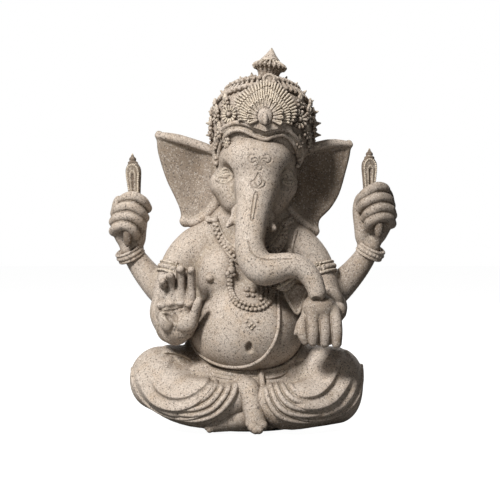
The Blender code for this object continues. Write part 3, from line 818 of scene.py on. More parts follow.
def make_head():
    """The head and the trunk, which flow into each other and share their engraving."""
    plain = join([head_form, ball((3, -14, 123), (8, 9, 7))], 5)
    both = join([plain, trunk_form], 6)
    sockets, lids, eyes = [], [], []
    for side, (x, z) in EYES.items():
        spot = placed_on(both, [(x, z)])[0]
        sockets.append(ball(spot + (1.4 * side, -1.6, 0.6), (7.6, 4.2, 4.6), (0, 20 * side, 0)))
    for socket in sockets:
        plain, both = cut(plain, socket, 5), cut(both, socket, 5)
    for side, (x, z) in EYES.items():
        eye = placed_on(both, [(x, z)])[0]
        eyes.append(ball(eye + (0, 1.5, 0), (3.7, 2.3, 2.0), (0, 14 * side, 0)))
    face = join([plain, *eyes], 0.4)
    for side, (x, z) in EYES.items():
        for bow, size in ((1.7, 0.55), (-1.5, 0.5), (3.3, 0.6), (-3.0, 0.5), (5.0, 0.55)):
            route = [(x + t * 4.8, z + side * t * -1.0 + bow * (1 - t * t)) for t in (-1, -0.5, 0, 0.5, 1)]
            lids.append(ridge(face, route, size, 0.15))
    face = join([face, *lids], 0.8)
    for x, z in EYES.values():
        face = cut(face, ridge(face, [(x - 3.4, z), (x, z - 0.6), (x + 3.4, z)], 0.4, 0.1), 0.4)
    engraving = [sweep(front(both, route, 0.5, 0.05, 6), 1) for route in (*CURLS, *TRUNK_LINES)]
    head = blended(face, [body_form], 3)

    tip = np.array(TRUNK[-1][:3])
    trunk = cut(trunk_form, ball(tip + (-0.4, -3.2, -6.2), (3.6, 3.6, 4.4)), 0.4)
    trunk = blended(trunk, [plain], 6)
    for socket in sockets:
        trunk = cut(trunk, socket, 5)
    for groove in engraving:
        head, trunk = cut(head, groove, 0.3), cut(trunk, groove, 0.3)
    sculpt("head", head, voxel=CARVED)
    sculpt("trunk", trunk, voxel=CARVED)


def arc(x, z, radius, start, end, count=7):
    """Places on an arc, with angles in degrees anticlockwise from +X as seen from the front."""
    turns = np.radians(np.linspace(start, end, count))
    return [(x + radius * math.cos(t), z + radius * math.sin(t)) for t in turns]


CURLS = [
    arc(3.0, 151.6, 2.3, 60, 330), arc(4.4, 149.6, 2.2, 120, -60, 5), arc(11.4, 151.6, 2.3, 120, -150),
    arc(9.9, 149.6, 2.2, 60, 240, 5),
    [(7.2, 152.5), (7.2, 149.2)], arc(7.2, 146.8, 1.5, 90, 450, 9),
    [(6.4, 143.4), (4.6, 140.6), (4.5, 138.2), (6.2, 136.2)],
    [(6.4, 143.4), (8.2, 140.6), (8.3, 138.2), (6.5, 136.2)],
    [(4.2, 140), (2.2, 138.6), (3.2, 136.2), (6.2, 135.6)],
    [(8.6, 140), (10.4, 138.4), (9.4, 136.2), (6.6, 135.6)],
]
TRUNK_LINES = [
    [
        (4.2, 132.0), (5.2, 133.0), (6.1, 131.8), (5.2, 126), (3.9, 119), (2.9, 117.6), (2.4, 119),
        (3.2, 126), (4.2, 132.0),
    ],
    [(0.8, 106), (2.2, 101), (5.2, 97.7), (11, 96.3), (18, 96.6), (24, 96.8)],
]


def make_tusks():
    collar = {RIGHT: (-4.6, -27.5, 122.6, 4.2), LEFT: (11.8, -26, 120.4, 3.8)}
    routes = {
        RIGHT: [(-5, -28, 121.5, 2.8), (-8, -31.5, 117.6, 2.3), (-10.6, -34.6, 114.8, 1.2)],
        LEFT: [(9.5, -27, 119.0, 2.8), (12.4, -28.5, 116.0, 2.6), (14.6, -29.6, 113.6, 2.0)],
    }
    for name, side in SIDES:
        tusk = join([sweep(routes[side]), beads([collar[side]])], 1.2)
        sculpt(name + "_tusk", blended(tusk, [head_form, trunk_form], 2.5))


# Each ear's dish gets wash and painted shade, more on the left ear, which lies in shade.
EARS = {
    RIGHT: {
        "root": 2, "hinge": -14, "tilt": 0.16, "wash_and_shade": 0.5,
        "top": [(-10, 156), (-19.3, 160.7), (-27.6, 164.2), (-39.9, 167.9), (-47.7, 169.7), (-52.6, 170.4)],
        "outer": [
            (-52.6, 170.4), (-52.0, 161), (-50, 153), (-46.6, 143), (-42, 133.5), (-38.8, 126),
            (-37.6, 119.4), (-37.2, 116.6),
        ],
        "bottom": [(-37.2, 116.6), (-29.9, 115.8), (-22.1, 121), (-15.5, 129)],
    },
    LEFT: {
        "root": 10, "hinge": 26, "tilt": 0.42, "wash_and_shade": 0.8,
        "top": [(26, 156), (35.9, 162.3), (43.7, 164.8), (52.6, 166.3), (61.6, 165.9)],
        "outer": [
            (61.6, 165.9), (60.6, 158), (58.2, 148.5), (54.4, 136), (49.2, 127.2), (42.6, 120.4),
            (41.2, 115), (40.3, 110.8),
        ],
        "bottom": [(40.3, 110.8), (35, 113.6), (29, 118.6), (21.4, 126.1)],
    },
}


def make_ears():
    for name, side in SIDES:
        ear = EARS[side]
        top, outer, bottom = (line(ear[key], 4) for key in ("top", "outer", "bottom"))
        outline = np.vstack([top, outer[1:], bottom[1:], [(ear["root"], 130), (ear["root"], 154)]])

        def middle(x, z, ear=ear, side=side):
            """How far back the middle of the shell lies."""
            out = (x - ear["hinge"]) * side
            dish = 6.5 * np.exp(-((out - 15) / 14) ** 2 - ((z - 146) / 18) ** 2)
            fold = 2.4 * np.exp(-((out - 8) / 4) ** 2 - ((z - 146) / 12) ** 2)
            swell = 1.6 * np.exp(-((out - 24) / 8) ** 2 - ((z - 140) / 14) ** 2)
            return 0.4 + ear["tilt"] * np.clip(out, 0, 50) + dish - fold - swell

        def distance(p, low, high, outline=outline, middle=middle):
            flat = outline_distance(p[0], p[2], outline)
            depth = np.abs(p[1] - middle(p[0], p[2])) * 0.86 - 1.9
            return -soft_min(-flat, -depth, 1.6)

        (x0, z0), (x1, z1) = outline.min(axis=0), outline.max(axis=0)
        shell = Field(distance, (x0, -4, z0), (x1, 22, z1))
        rims = []
        for route, radii, drop, out in (
            (top, (2.2, 2.9, 1.6), -1.6, 2.6), (bottom, (2.4, 2.7, 2.4), 1.8, 1.8),
        ):
            sizes = np.interp(np.linspace(0, 1, len(route)), (0, 0.6, 1), radii)
            rims.append(sweep([(x, middle(x, z) - out, z + drop, r) for (x, z), r in zip(route, sizes)], 1))
        thin = sweep([(x + 0.8 * -side, middle(x, z) - 0.8, z, 1.25) for x, z in outer], 1)

        def extra_wash_and_shade(points, normals, rolled=(top, bottom), most=ear["wash_and_shade"]):
            """Wash and painted shade in front, away from the rolled rims."""
            depth = np.minimum(*(track_at(route, points[:, 0], points[:, 2])[0] for route in rolled))
            return most * np.clip((depth - 3.5) / 3, 0, 1) * np.clip(-normals[:, 1] * 2, 0, 1)

        whole = join([shell, join(rims, 1), thin], 2.2)
        sculpt(name + "_ear", blended(whole, [head_form], 3), voxel=BROAD, extra_wash_and_shade=extra_wash_and_shade)


# ---------------------------------------------------------------- crown

SPIKES = 30
SIDE_FLOWERS = [    # degrees round from the front, height and size
    (50, 184, 3.0), (62, 177, 3.7), (56, 167.5, 3.4), (76, 183, 2.8), (80, 171, 3.9), (94, 178, 3.4),
    (100, 166.5, 3.2), (46, 161.5, 2.6), (70, 161.5, 2.9),
]
BROW_BACK = [
    (33, -14, 150), (35.5, 0, 152), (33, 14, 155), (22, 23, 157.5), (8, 26, 158), (-5, 24, 157.5),
    (-15, 15, 156), (-19.5, 0, 153.5), (-18.5, -13, 151),
]
BROW_OUTER = [
    (-18.6, 157), (-17.4, 163.6), (-13.7, 169.4), (-8.9, 171.7), (-4.9, 172.2), (-0.2, 171.2), (5.3, 168.5),
    (10.3, 166.6), (14.7, 167.7), (20.1, 168.5), (24.9, 166.4), (29.4, 161.7), (31.8, 155.6),
]
BROW_INNER = [
    (-16.6, 153), (-15, 160.5), (-10.9, 166.2), (-6.2, 168.1), (-1.5, 167.4), (3.9, 164.8), (10, 162.6),
    (14.7, 164.4), (20.1, 165.4), (24.6, 162.8), (27.8, 158), (29.6, 152),
]
OUTER_ARCH = [
    (-4.4, 173), (-4.6, 178), (-6.8, 183.5), (-5.4, 187), (0.8, 191.6), (6.4, 194.9), (12, 198.5),
    (17, 194.8), (21.4, 190.8), (25.4, 185.9), (27.6, 179.8), (26.6, 175), (24.6, 171.5),
]
INNER_ARCH = [
    (-3.8, 173.6), (-3.6, 180.0), (-1, 183.8), (1.8, 186.6), (5.5, 189.2), (11, 192),
    (14.9, 189.6), (18.6, 185.4), (22.0, 181.6), (23.8, 177.6), (23.4, 171.8),
]
PETAL_ARCH = [
    (1.2, 171.6), (1.0, 175.4), (2.0, 179.4), (4.8, 182.4), (7.8, 183.8), (10.8, 186.4),
    (13.6, 184), (16.4, 182), (18.8, 179), (19.4, 175.2), (18.6, 171.2),
]


def even(route, count):
    """Places spread evenly along a route."""
    path = line(route, 8)
    reach = np.concatenate([[0], np.cumsum(np.linalg.norm(np.diff(path, axis=0), axis=1))])
    marks = np.linspace(0, reach[-1], count)
    return np.column_stack([np.interp(marks, reach, path[:, k]) for k in range(path.shape[1])])


def flutes(skin, inner, outer, count, radius, lift):
    """Ridges that run from an inner route to an outer one, laid on a skin, with dark slits between them."""
    ridges = []
    for (x0, z0), (x1, z1) in zip(even(inner, count), even(outer, count)):
        places = [(x0 + (x1 - x0) * t, z0 + (z1 - z0) * t) for t in (0.2, 0.55, 0.94)]
        a, b, c = placed_on(skin, places, lift=lift)
        ridges.append(
            sweep([(*a, radius * 0.75), (*b, radius * 0.9), (*(c - (0, 0.5, 0)), radius * 1.15)], 1)
        )
    return join(ridges)


def tier(across_x, across_y, count):
    """A fringe of lobes that rings the crown's dome."""
    lobes, core = [], []
    for turn in np.arange(count) * math.tau / count:
        out = np.array([math.cos(turn), math.sin(turn)])
        inner, outer = (CROWN[:2] + out * (across_x + wide, across_y + wide) for wide in (-1.8, 1.7))
        a, b = laid(crown_form, [(*inner, CROWN[2]), (*outer, CROWN[2])], (0, 0, -1), 1.9)
        lobes.append(sweep([(*a, 0.8), (*(b + (0, 0, 0.3)), 1.35)], 1))
        core.append((*(a * 0.5 + b * 0.5 - (0, 0, 1.2)), 1.9))
    return join([sweep(core, 1, True), join(lobes)], 0.3)


def leaf(centre, facing, tip, length, width):
    """A pointed leaf with a midrib that lies on a surface and points towards tip."""
    facing, centre = across(facing)[0], np.array(centre, float)
    tip = np.array(tip, float) - facing * (facing @ np.array(tip, float))
    tip /= np.linalg.norm(tip)
    side = np.cross(facing, tip)
    parts = [
        sweep([
            (*(centre + facing * 0.3 - tip * length * 0.4), 0.6), (*(centre + facing * 0.9), 0.7),
            (*(centre + tip * length * 0.6), 0.4),
        ]),
    ]
    for way in (-1, 1):
        bow = centre + side * way * width * 0.5 + facing * 0.2
        parts.append(
            sweep([
                (*(centre - tip * length * 0.4), 0.7), (*bow, 0.95), (*(centre + tip * length * 0.62), 0.5),
            ])
        )
    return join(parts, 0.5)


def make_crown():
    def ribbed(p, low, high):
        turn = np.arctan2(p[0] - CROWN[0], p[1] - CROWN[1])
        share = np.clip((p[1] + 2) / 6, 0, 1) * np.clip((190 - p[2]) / 3, 0, 1)
        return crown_form.distance(p, low, high) + 0.45 * share * (1 - np.abs(np.cos(15 * turn)) ** 0.6)

    sculpt("crown_cap", Field(ribbed, crown_form.low, crown_form.high), voxel=BROAD)
    middle = CROWN * (1, 0, 1) + (0.6, 0, 0)
    halo = [ring(middle + (0, 1.5, 0), (0, 1, 0), 28.6, 2.0, count=60)]
    for k in range(SPIKES):
        turn = math.tau * (k + 0.5) / SPIKES
        out = np.array([math.cos(turn), 0, math.sin(turn)])
        side = np.array([-out[2], 0, out[0]])
        root, tip = middle + (0, 1.2, 0) + out * 29.0, middle + (0, -0.4, 0) + out * 33.4
        for way in (-1, 1):
            waist = (*(root * 0.5 + tip * 0.5 + side * way * 0.4), 1.0)
            halo.append(sweep([(*(root + side * way * 1.1), 1.5), waist, (*tip, 0.3)], 1))
    sculpt("crown_halo", above(join(halo, 0.7), 158), "carved_sandstone")

    for name, wide, deep, count in (("lower", 24.2, 19.6, 48), ("upper", 19.2, 14.4, 38)):
        sculpt(f"crown_tier_{name}", tier(wide, deep, count), "carved_sandstone")

    plate_skin = ball(CROWN + (0, -2.2, 0.8), (30.2, 29, 31))
    arch = np.vstack([line(OUTER_ARCH, 4), [(26, 166), (18, 169), (10, 167), (0, 171)]])
    plate = common(
        common(plate_skin, slab(arch, -35, 25), 0.8), cut(ball(CROWN, 60), ball(CROWN, (25, 24, 26))),
    )
    steps = []
    for route, rise in ((INNER_ARCH, 0.9), (PETAL_ARCH, 1.7)):
        step = np.vstack([line(route, 4), [(17, 168), (10, 166.5), (3, 169)]])
        steps.append(common(grown(plate_skin, rise), slab(step, -31, 12), 0.5))
    petals = [
        flutes(plate_skin, INNER_ARCH, OUTER_ARCH, 35, 0.68, 0.6),
        flutes(grown(plate_skin, 0.9), arc(10, 174.6, 9.4, 190, -14, 9), INNER_ARCH, 33, 0.56, 0.4),
        cut(*(flutes(grown(plate_skin, 1.7), arc(10, 174.6, 4.2, 206, -26, 9), PETAL_ARCH, 13, radius, lift)
              for radius, lift in ((1.25, 0.8), (0.42, 2.0)))),
    ]
    loop = placed_on(plate_skin, [(12.4, 196.8)], lift=1.6)[0]
    crest = [
        ring(loop, (0, -1, 0.25), 3.0, 0.95), ball(loop + (0, 0.2, -1.6), 1.5),
        ball(loop + (0, 1.0, 0), (3.0, 1.0, 3.0)),
    ]
    sculpt(
        "crown_front_plate", join([plate, *steps, *petals, join(crest, 0.3)], 0.2), "carved_sandstone",
        CARVED, name="crown_plate_cast",
    )

    heart = placed_on(plate_skin, [(9.9, 175.0)], lift=1.8)[0]
    medal = join([ball(heart, (4.3, 2.4, 4.9)), ball(heart + (0.3, -1.9, -2.0), (1.6, 1.8, 3.4))], 0.3)
    sculpt("crown_medallion", medal)

    skull = join([crown_form, head_form], 2)
    for (name, side), (x, z, petals, thick) in zip(SIDES, ((-9.7, 177.2, 15, 0.68), (29.3, 174.6, 11, 0.95))):
        spot = placed_on(crown_form, [(x, z)], lift=2.0)[0]
        facing = (spot - CROWN) * (0.9, 1.15, 0.5)
        bloom = flower(spot, facing, 5.3, petals, thick)
        sculpt(name + "_rosette", bloom, "carved_sandstone", CARVED)
        cluster = []
        for angle, height, size in SIDE_FLOWERS:
            out = np.array([side * math.sin(math.radians(angle)), -math.cos(math.radians(angle)), 0])
            place = laid(crown_form, [CROWN * (1, 1, 0) + (0, 0, height)], -out, 1.2)[0]
            cluster.append(flower(place, out + (0, 0, 0.1), size, 7, 0.9))
            leaf_foot = place + (0, 0, size * 1.05)
            cluster.append(leaf(leaf_foot, out, (0.4 * side, 0, 1), size * 1.3, size * 0.8))
        sculpt(name + "_side_rosette", join(cluster, 0.4), "carved_sandstone")

    bands = []
    for route, radius, lift, drop in ((BROW_OUTER, 1.35, 2.0, 0), (BROW_INNER, 1.2, 1.6, 3.4)):
        face = front(skull, route, radius, lift, 1)
        back = laid(
            skull, [(8, 0, z + 3 - drop) for _, _, z in BROW_BACK],
            [(8 - x, -y, 0) for x, y, _ in BROW_BACK], 1.2,
        )
        bands.append(np.vstack([face, np.column_stack([back, np.full(len(back), radius)])]))
    pairs = zip(even(np.vstack([bands[0], bands[0][:1]]), 70), even(np.vstack([bands[1], bands[1][:1]]), 70))
    fill = [(*((a[:3] + b[:3]) / 2 + (0, 2.2 if a[1] < 0 else -2.2, 0)), 2.2) for a, b in pairs]
    mouldings = join([sweep(band, 4, True) for band in bands])
    sculpt("brow_band", join([mouldings, sweep(fill, 1)], 0.8), "carved_sandstone", CARVED)

    foot = np.array([*CROWN[:2], 202.2]) + (3.4, 2, 0)
    lean = (0, 7, 0)
    cone = lathe([(0, 17.6), (3.0, 13.2), (5.4, 10.3), (5.9, 9.4), (5.2, 8.8), (0, 8.8)], foot, lean)
    rim = lathe([(0, 9.6), (6.2, 9.4), (9.6, 7.4), (10.4, 6.2), (9.4, 4.4), (0, 3)], foot, lean, 20, 1.3)
    cup = lathe([(0, 7), (8.2, 6.2), (6.2, 1.6), (5.6, -1), (0, -1)], foot, lean, 20, 0.5)
    sculpt("crown_finial", join([cone, rim, cup], 0.5), "carved_sandstone")


# ---------------------------------------------------------------- arms

def make_upper_arms():
    for name, side in SIDES:
        sculpt(name + "_upper_arm", blended(arm_forms[side], [body_form], 7), voxel=BROAD)
        middle, along = np.array([40.3 * side, -1.4, 88.5]), np.array([4.0 * side, -2, -11])
        step = along / np.linalg.norm(along)
        rows = [ring(middle + step * t, along, 11.35, 0.75) for t in (-2.6, 2.6)]
        rows.append(beads(hoop(middle, along, 11.3, 1.25, count=30)))
        rows.append(ring(middle, along, 10.4, 1.9))
        gem = placed_on(arm_forms[side], [(41 * side, 91.5)], lift=0.5)[0]
        rows.append(flower(gem, (0.25 * side, -1, 0.1), 3.4, 8))
        sculpt(name + "_armlet", join(rows, 0.4), "carved_sandstone")


RAISED = {
    RIGHT: [
        (-45, 2, 74, 9.4), (-52, 5.5, 80, 8.8), (-59.5, 7, 88, 7.6), (-65, 7, 95.5, 6.6),
        (-68.5, 6, 102, 6.0),
    ],
    LEFT: [
        (46, 2, 73, 9.4), (54, 5.5, 79.6, 8.8), (62.4, 7, 88, 7.6), (68.6, 7, 96, 6.6),
        (72.4, 6, 103.5, 6.0),
    ],
}
FINGERS = {
    RIGHT: [
        [(-73.5, 3, 129), (-71, -3, 131.2), (-65.8, -6.2, 132.4), (-60.6, -4.2, 129.8), (-58.6, 1, 126)],
        [(-77, 3, 123), (-73.6, -3.4, 125.6), (-67, -7, 126.8), (-62, -5, 123.6), (-60, 0, 120.4)],
        [(-78, 3, 118), (-74.4, -3.4, 120.4), (-68, -7, 121.2), (-63, -5, 118.4), (-61.4, 0, 115.6)],
        [(-78, 3, 112.6), (-75, -3, 115), (-69.6, -6.2, 115.8), (-66, -4.6, 113), (-65.6, -0.6, 110.4)],
    ],
    LEFT: [
        [(81.6, 3, 133.6), (79.6, -2.6, 137.2), (74.4, -6, 137.6), (68.2, -4.4, 133.6), (66.4, 1, 130)],
        [(84, 3, 127.4), (81.6, -3, 131), (75.4, -6.8, 131.8), (69, -5, 129), (67, 0, 126)],
        [(85, 3, 121.8), (82.6, -3, 125.2), (76.4, -6.8, 126), (71, -5, 123.2), (69.4, 0, 120.4)],
        [(84.6, 3, 117), (82.4, -2.6, 120.2), (77, -6.2, 120.8), (72, -4.6, 118.4), (71, -0.6, 115.6)],
    ],
}


def painted_left_shade(points, normals):
    """Painted shade over a whole casting, heavier on the side that faces left, away from the key lamp."""
    return 0.35 + 0.1 * normals[:, 0]


# Only the castings of the figure's left arm get painted shade.
PAINTED_LEFT_SHADE = {RIGHT: None, LEFT: painted_left_shade}


def make_raised_arms():
    for name, side in SIDES:
        arm = sweep(RAISED[side], 5)
        sculpt(name + "_raised_forearm", blended(arm, [arm_forms[side]], 5), voxel=BROAD, extra_wash_and_shade=PAINTED_LEFT_SHADE[side])
        fingers = join([sweep([(*spot, 3.15) for spot in route]) for route in FINGERS[side]], 0.35)
        knuckle = np.array(FINGERS[side][1][0])
        wrist = np.array(RAISED[side][-1][:3])
        back = join([
            ball(knuckle + (2.2 * -side, 1.5, -2), (5.0, 6.6, 12.5), (0, 4 * side, 0)),
            ball((knuckle + wrist) / 2 + (1.0 * -side, 1, -1), (6.4, 6, 10), (0, 10 * side, 0)),
            ball(wrist + (-4.4 * side, -0.6, 9.6), (4.6, 5.0, 9.4), (0, 4 * side, 0)),
            ball(wrist + (-5.0 * side, 2.0, 21), (5.0, 5.4, 11)),
        ], 4)
        hand = join([back, fingers], 1.0)
        sculpt(name + "_raised_hand", blended(hand, [arm], 3), extra_wash_and_shade=PAINTED_LEFT_SHADE[side])
        along = np.array([0.42 * side, -0.3, 0.9])
        band = wrist + (0.4 * side, 0, -2.4)
        rows = [ring(band + along * t, along, 7.5, 0.95) for t in (-2.2, 2.2)]
        rows += [beads(hoop(band, along, 7.6, 1.2, count=22)), ring(band, along, 6.2, 2.3)]
        sculpt(name + "_bangle", join(rows, 0.4), "carved_sandstone")


MACES = {RIGHT: ((-65.6, -0.6, 136), -3.5), LEFT: ((71.2, -0.6, 139), 0.5)}


def make_maces():
    for name, side in SIDES:
        root, tilt = MACES[side]
        root = np.array(root, float)
        axes = turning((0, tilt, 14 * side))

        def placed(x, y, z, root=root, axes=axes):
            return root + axes @ np.array([x, y, z], float)

        blade = join([
            sweep([
                (*placed(dx * 0.5, 0, -5), 2.0), (*placed(dx * 0.8, 0, 4), 2.1),
                (*placed(dx * 1.05, 0, 11.6), 2.1), (*placed(dx * 0.6, 0, 14.8), 1.8),
            ])
            for dx in (-2.5, 0, 2.5)
        ], 2.0)
        knob = [
            ball(placed(0, 0, 16.4), (3.0, 2.4, 1.2)), ball(placed(0, 0, 18.4), (2.1, 2.0, 1.6)),
            sweep([(*placed(0, 0, 19.2), 1.3), (*placed(0, 0, 21.4), 0.5)], 1),
        ]
        edge = [
            placed(x, -2.0, z)
            for x, z in (
                (-2.6, -2), (-3.1, 4), (-3.6, 10), (-2.6, 13.8), (0, 15.2), (2.6, 13.8), (3.6, 10), (3.1, 4),
                (2.6, -2),
            )
        ]
        loop = [
            (*placed(x, -2.1, z), 0.42)
            for x, z in ((-1.1, -2), (-1.3, 5), (-1.5, 9.4), (0, 11.6), (1.5, 9.4), (1.3, 5), (1.1, -2))
        ]
        well = sweep([(*placed(0, -2.3, -2), 0.7), (*placed(0, -2.4, 9), 0.9)], 1)
        butt = np.array(FINGERS[side][3][2]) + (-0.6 * side, 1.6, -3)
        grip = placed(0, 0, -4)
        shaft = sweep([
            (*grip, 2.2), (*((grip + butt) / 2), 2.2), (*butt, 2.4), (*(butt - (0.2, 0, 6)), 2.2),
            (*(butt - (0.3, 0, 9)), 0.8),
        ])
        mace = join([
            cut(blade, well, 0.4), join(knob, 0.4), bead_row(edge, 1.25, 0.6), sweep(loop), shaft,
        ], 0.25)
        sculpt(name + "_mace", mace, "carved_sandstone", extra_wash_and_shade=lambda points, normals: 0.7)


PALM_FINGERS = (
    (-46.4, 0.3, 86.8, 2.5), (-41.6, -0.3, 90.2, 2.75), (-36.3, 0.0, 93.8, 2.8), (-30.9, 0.4, 93.0, 2.6),
)


def make_blessing_hand():
    forearm = sweep([(-45, -6, 65, 10.2), (-43, -15, 60, 9.8), (-40, -23, 57, 9.0)])
    palm = join([
        ball((-39.4, -33.5, 68), (11.6, 5.0, 11)), ball((-37, -33, 58), (8.4, 6.0, 7)),
        ball((-39, -32.6, 80), (9.8, 3.2, 9)),
    ], 4)
    pads = [
        ball((-33.6, -38.0, 61.4), (6.6, 4.8, 5.6), (0, 28, 0)),
        ball((-44.2, -37.2, 63), (4.6, 4.2, 6.8), (0, -8, 0)),
    ]
    pads += [
        ball((x, -37.2, z), (2.9, 2.3, 2.2))
        for x, z in ((-46.8, 71), (-41.8, 71.6), (-36.6, 72.2), (-31.6, 71.6))
    ]
    fingers = []
    for x, lean, top, radius in PALM_FINGERS:
        stations = [
            (x, -34.4, 70, radius), (x + lean * 0.3, -34.6, 76, radius * 1.02),
            (x + lean * 0.7, -35.6, 82, radius * 0.94),
        ]
        stations += [
            (x + lean, -38.6, top - radius - 1.4, radius * 0.96),
            (x + lean, -41, top - radius, radius * 0.78),
        ]
        fingers.append(sweep(stations))
    thumb = sweep([
        (-30.4, -38.5, 62, 3.8), (-28.3, -41.0, 67.4, 2.6), (-27.0, -42.6, 71.6, 2.4),
        (-26.2, -43, 74.0, 1.9),
    ])
    hand = join([palm, join(pads, 1.0)], 1.0)
    hand = cut(hand, ball((-39.6, -40.2, 66.4), (4.8, 2.6, 4.6)), 2)
    hand = join([join([hand, join(fingers, 0.15)], 0.5), thumb], 1.2)
    for route in (
        [(-48, 68.2), (-41, 68.0), (-35.5, 69.8)], [(-40.4, 67.6), (-38.4, 63), (-39.4, 56.6)],
        [(-46.6, 66.4), (-41, 64.6), (-38.8, 62)],
    ):
        hand = cut(hand, sweep(front(hand, route, 0.45, 0.0), 1), 0.7)
    sculpt("right_hand", blended(moved(hand, (0, 4, 0)), [forearm], 2.5))
    cuffs = [
        ring(spot, (2.0, -7, -3.5), radius, 0.7)
        for spot, radius in (((-41.2, -19.4, 58.6), 9.8), ((-40.8, -21.2, 57.8), 9.6))
    ]
    arm = blended(forearm, [arm_forms[RIGHT]], 5)
    sculpt("right_forearm", join([arm, *cuffs], 0.6), voxel=BROAD)


def make_resting_hand():
    forearm = sweep([(46.5, -8, 68, 9.8), (48, -17, 69, 9), (45.6, -27, 67.5, 8.2)])
    hand = join([ball((41, -35, 65.5), (10.6, 8, 7.4)), ball((47.4, -22, 73.8), (6, 7, 6.4))], 4)
    knuckles = ball((39.4, -38.4, 70.0), (9.2, 8.8, 7.6))
    backing = ball((41.6, -38.4, 58.4), (10, 5.2, 9.6))
    fingers = []
    for x, low in ((36.0, 49.4), (42.3, 48.8), (48.6, 48.4)):
        fingers.append(
            sweep([
                (x - 0.8, -41, 68.0, 3.0), (x - 0.3, -43.8, 63.4, 3.2), (x, -45.4, 57, 3.15),
                (x, -44.6, low + 2.8, 2.8),
            ])
        )
    first = [
        sweep([(32.4, -39, 66, 2.6), (30.2, -42.4, 61, 3.0), (30.4, -44, 55.6, 2.8), (31.6, -44, 52.2, 2.2)]),
        sweep([(29.4, -41, 60.6, 2.6), (27.4, -42.4, 57.4, 1.7), (26.4, -42.6, 56.0, 0.9)]),
    ]
    bump = ball((50.6, -34.6, 67.8), (4.4, 5.6, 5))
    hand = join([
        join([hand, bump, backing, knuckles], 2.4), join([join(fingers, 0.15), join(first, 1.5)], 0.3),
    ], 2.0)
    sculpt("left_hand", blended(hand, [forearm], 3), extra_wash_and_shade=PAINTED_LEFT_SHADE[LEFT])
    sculpt("left_forearm", blended(forearm, [arm_forms[LEFT]], 5), voxel=BROAD)


# ---------------------------------------------------------------- worn pieces

THREAD = [
    (-33, 54), (-31.2, 48.7), (-27.6, 43.8), (-18.7, 38.6), (-8.5, 36.6), (1.6, 38.0), (9.3, 42.8),
    (14.4, 50), (17, 57.6), (17.6, 66), (17.4, 73), (18, 83), (21, 92), (24.7, 99.9), (26.8, 107.2),
    (28.4, 112.5),
]
COLLAR_OUTER = [
    (-18.4, 118.6), (-19.0, 112.6), (-15.2, 105.0), (-10.8, 99.6), (-6.4, 95.3), (1.5, 92.6), (11, 95),
    (18.4, 101), (22.6, 107.6), (22.6, 115.6),
]
COLLAR_INNER = [
    (-17.5, 118), (-13.8, 110.3), (-8.6, 104.1), (1.8, 101.4), (12, 104), (17.4, 110), (21, 117.5),
]
COLLAR_BACK = [(26, 6, 120), (17, 14, 121), (3, 17, 121.5), (-11, 14, 121), (-21, 6, 120)]


def collar_loop(route, radius, lift, rise):
    """A closed collar line, laid on the chest in front and round the neck behind."""
    face = front(body_form, route, radius, lift, 1)
    back = laid(
        body_form, [(3, 0, z + rise) for _, _, z in COLLAR_BACK],
        [(3 - x, -y, 0) for x, y, _ in COLLAR_BACK], lift,
    )
    return np.vstack([face, np.column_stack([back, np.full(len(back), radius)])])


def make_jewellery():
    thread = front(body_form, THREAD, 1.0, 0.6)
    sculpt("sacred_thread", sweep(thread, 1), "carved_sandstone")
    outer, inner = collar_loop(COLLAR_OUTER, 0.85, 0.7, -2.5), collar_loop(COLLAR_INNER, 0.8, 1.0, 2.5)
    even_outer, even_inner = even(np.vstack([outer, outer[:1]]), 48), even(np.vstack([inner, inner[:1]]), 48)
    body = [
        (*((a[:3] + b[:3]) / 2 + (0, 1.3 if (a[1] + b[1]) < 0 else -1.3, 0)), 2.4)
        for a, b in zip(even_outer, even_inner)
    ]
    rings = []
    for share, count, size in ((0.24, 62, 1.3), (0.66, 54, 1.2)):
        path = even([tuple(a[:3] + (b[:3] - a[:3]) * share) for a, b in zip(even_outer, even_inner)], count)
        spots = laid(body_form, path, np.where(path[:, 1:2] < 0, (0, 1, 0), (0, -1, 0)), 2.1, 12)
        rings.append(beads([(*spot, size) for spot in spots]))
    collar = join([sweep(outer, 4, True), sweep(inner, 4, True), *rings], 0.3)
    sculpt("neck_collar", join([sweep(body, 1), collar], 0.6), "carved_sandstone")
    drape = [
        (-10.1, 87), (-9.4, 78.5), (-6.3, 72.4), (0.7, 69.3), (7.8, 69.5), (12.2, 72.4), (15.8, 78),
        (16.8, 83),
    ]
    strands = []
    for offset in (0, 2.1):
        route = [(x + (0.8 if x < 3 else -0.8) * offset / 2, z + offset * 0.9) for x, z in drape]
        strands.append(bead_row(front(body_form, route, 1.2, 0.9)[:, :3], 2.3, 1.22))
    for route in ([(x, 84), (x + 0.3, 79), (x - 0.2, 74.5)] for x in (8, 10.4, 12.8)):
        strands.append(bead_row(front(body_form, route, 1.0, 1.6)[:, :3], 2.1, 1.15))
    neck_line = [(-8.8, 95), (-8.4, 91), (-9.2, 87)]
    strands.append(bead_row(front(body_form, neck_line, 1.3, 0.9)[:, :3], 2.4, 1.35))
    places = [(-8.6, 90.2), (-10.6, 88.4), (-7.4, 87.8), (0.2, 79.4), (0.5, 76.6), (3.4, 78.8), (3.4, 76.4)]
    pendants = placed_on(body_form, places, lift=1.2)
    strands.append(
        beads([(*spot, size) for spot, size in zip(pendants, (2.3, 1.5, 1.4, 1.8, 1.3, 1.7, 1.2))])
    )
    sculpt("bead_garland", join(strands, 0.2), "carved_sandstone")


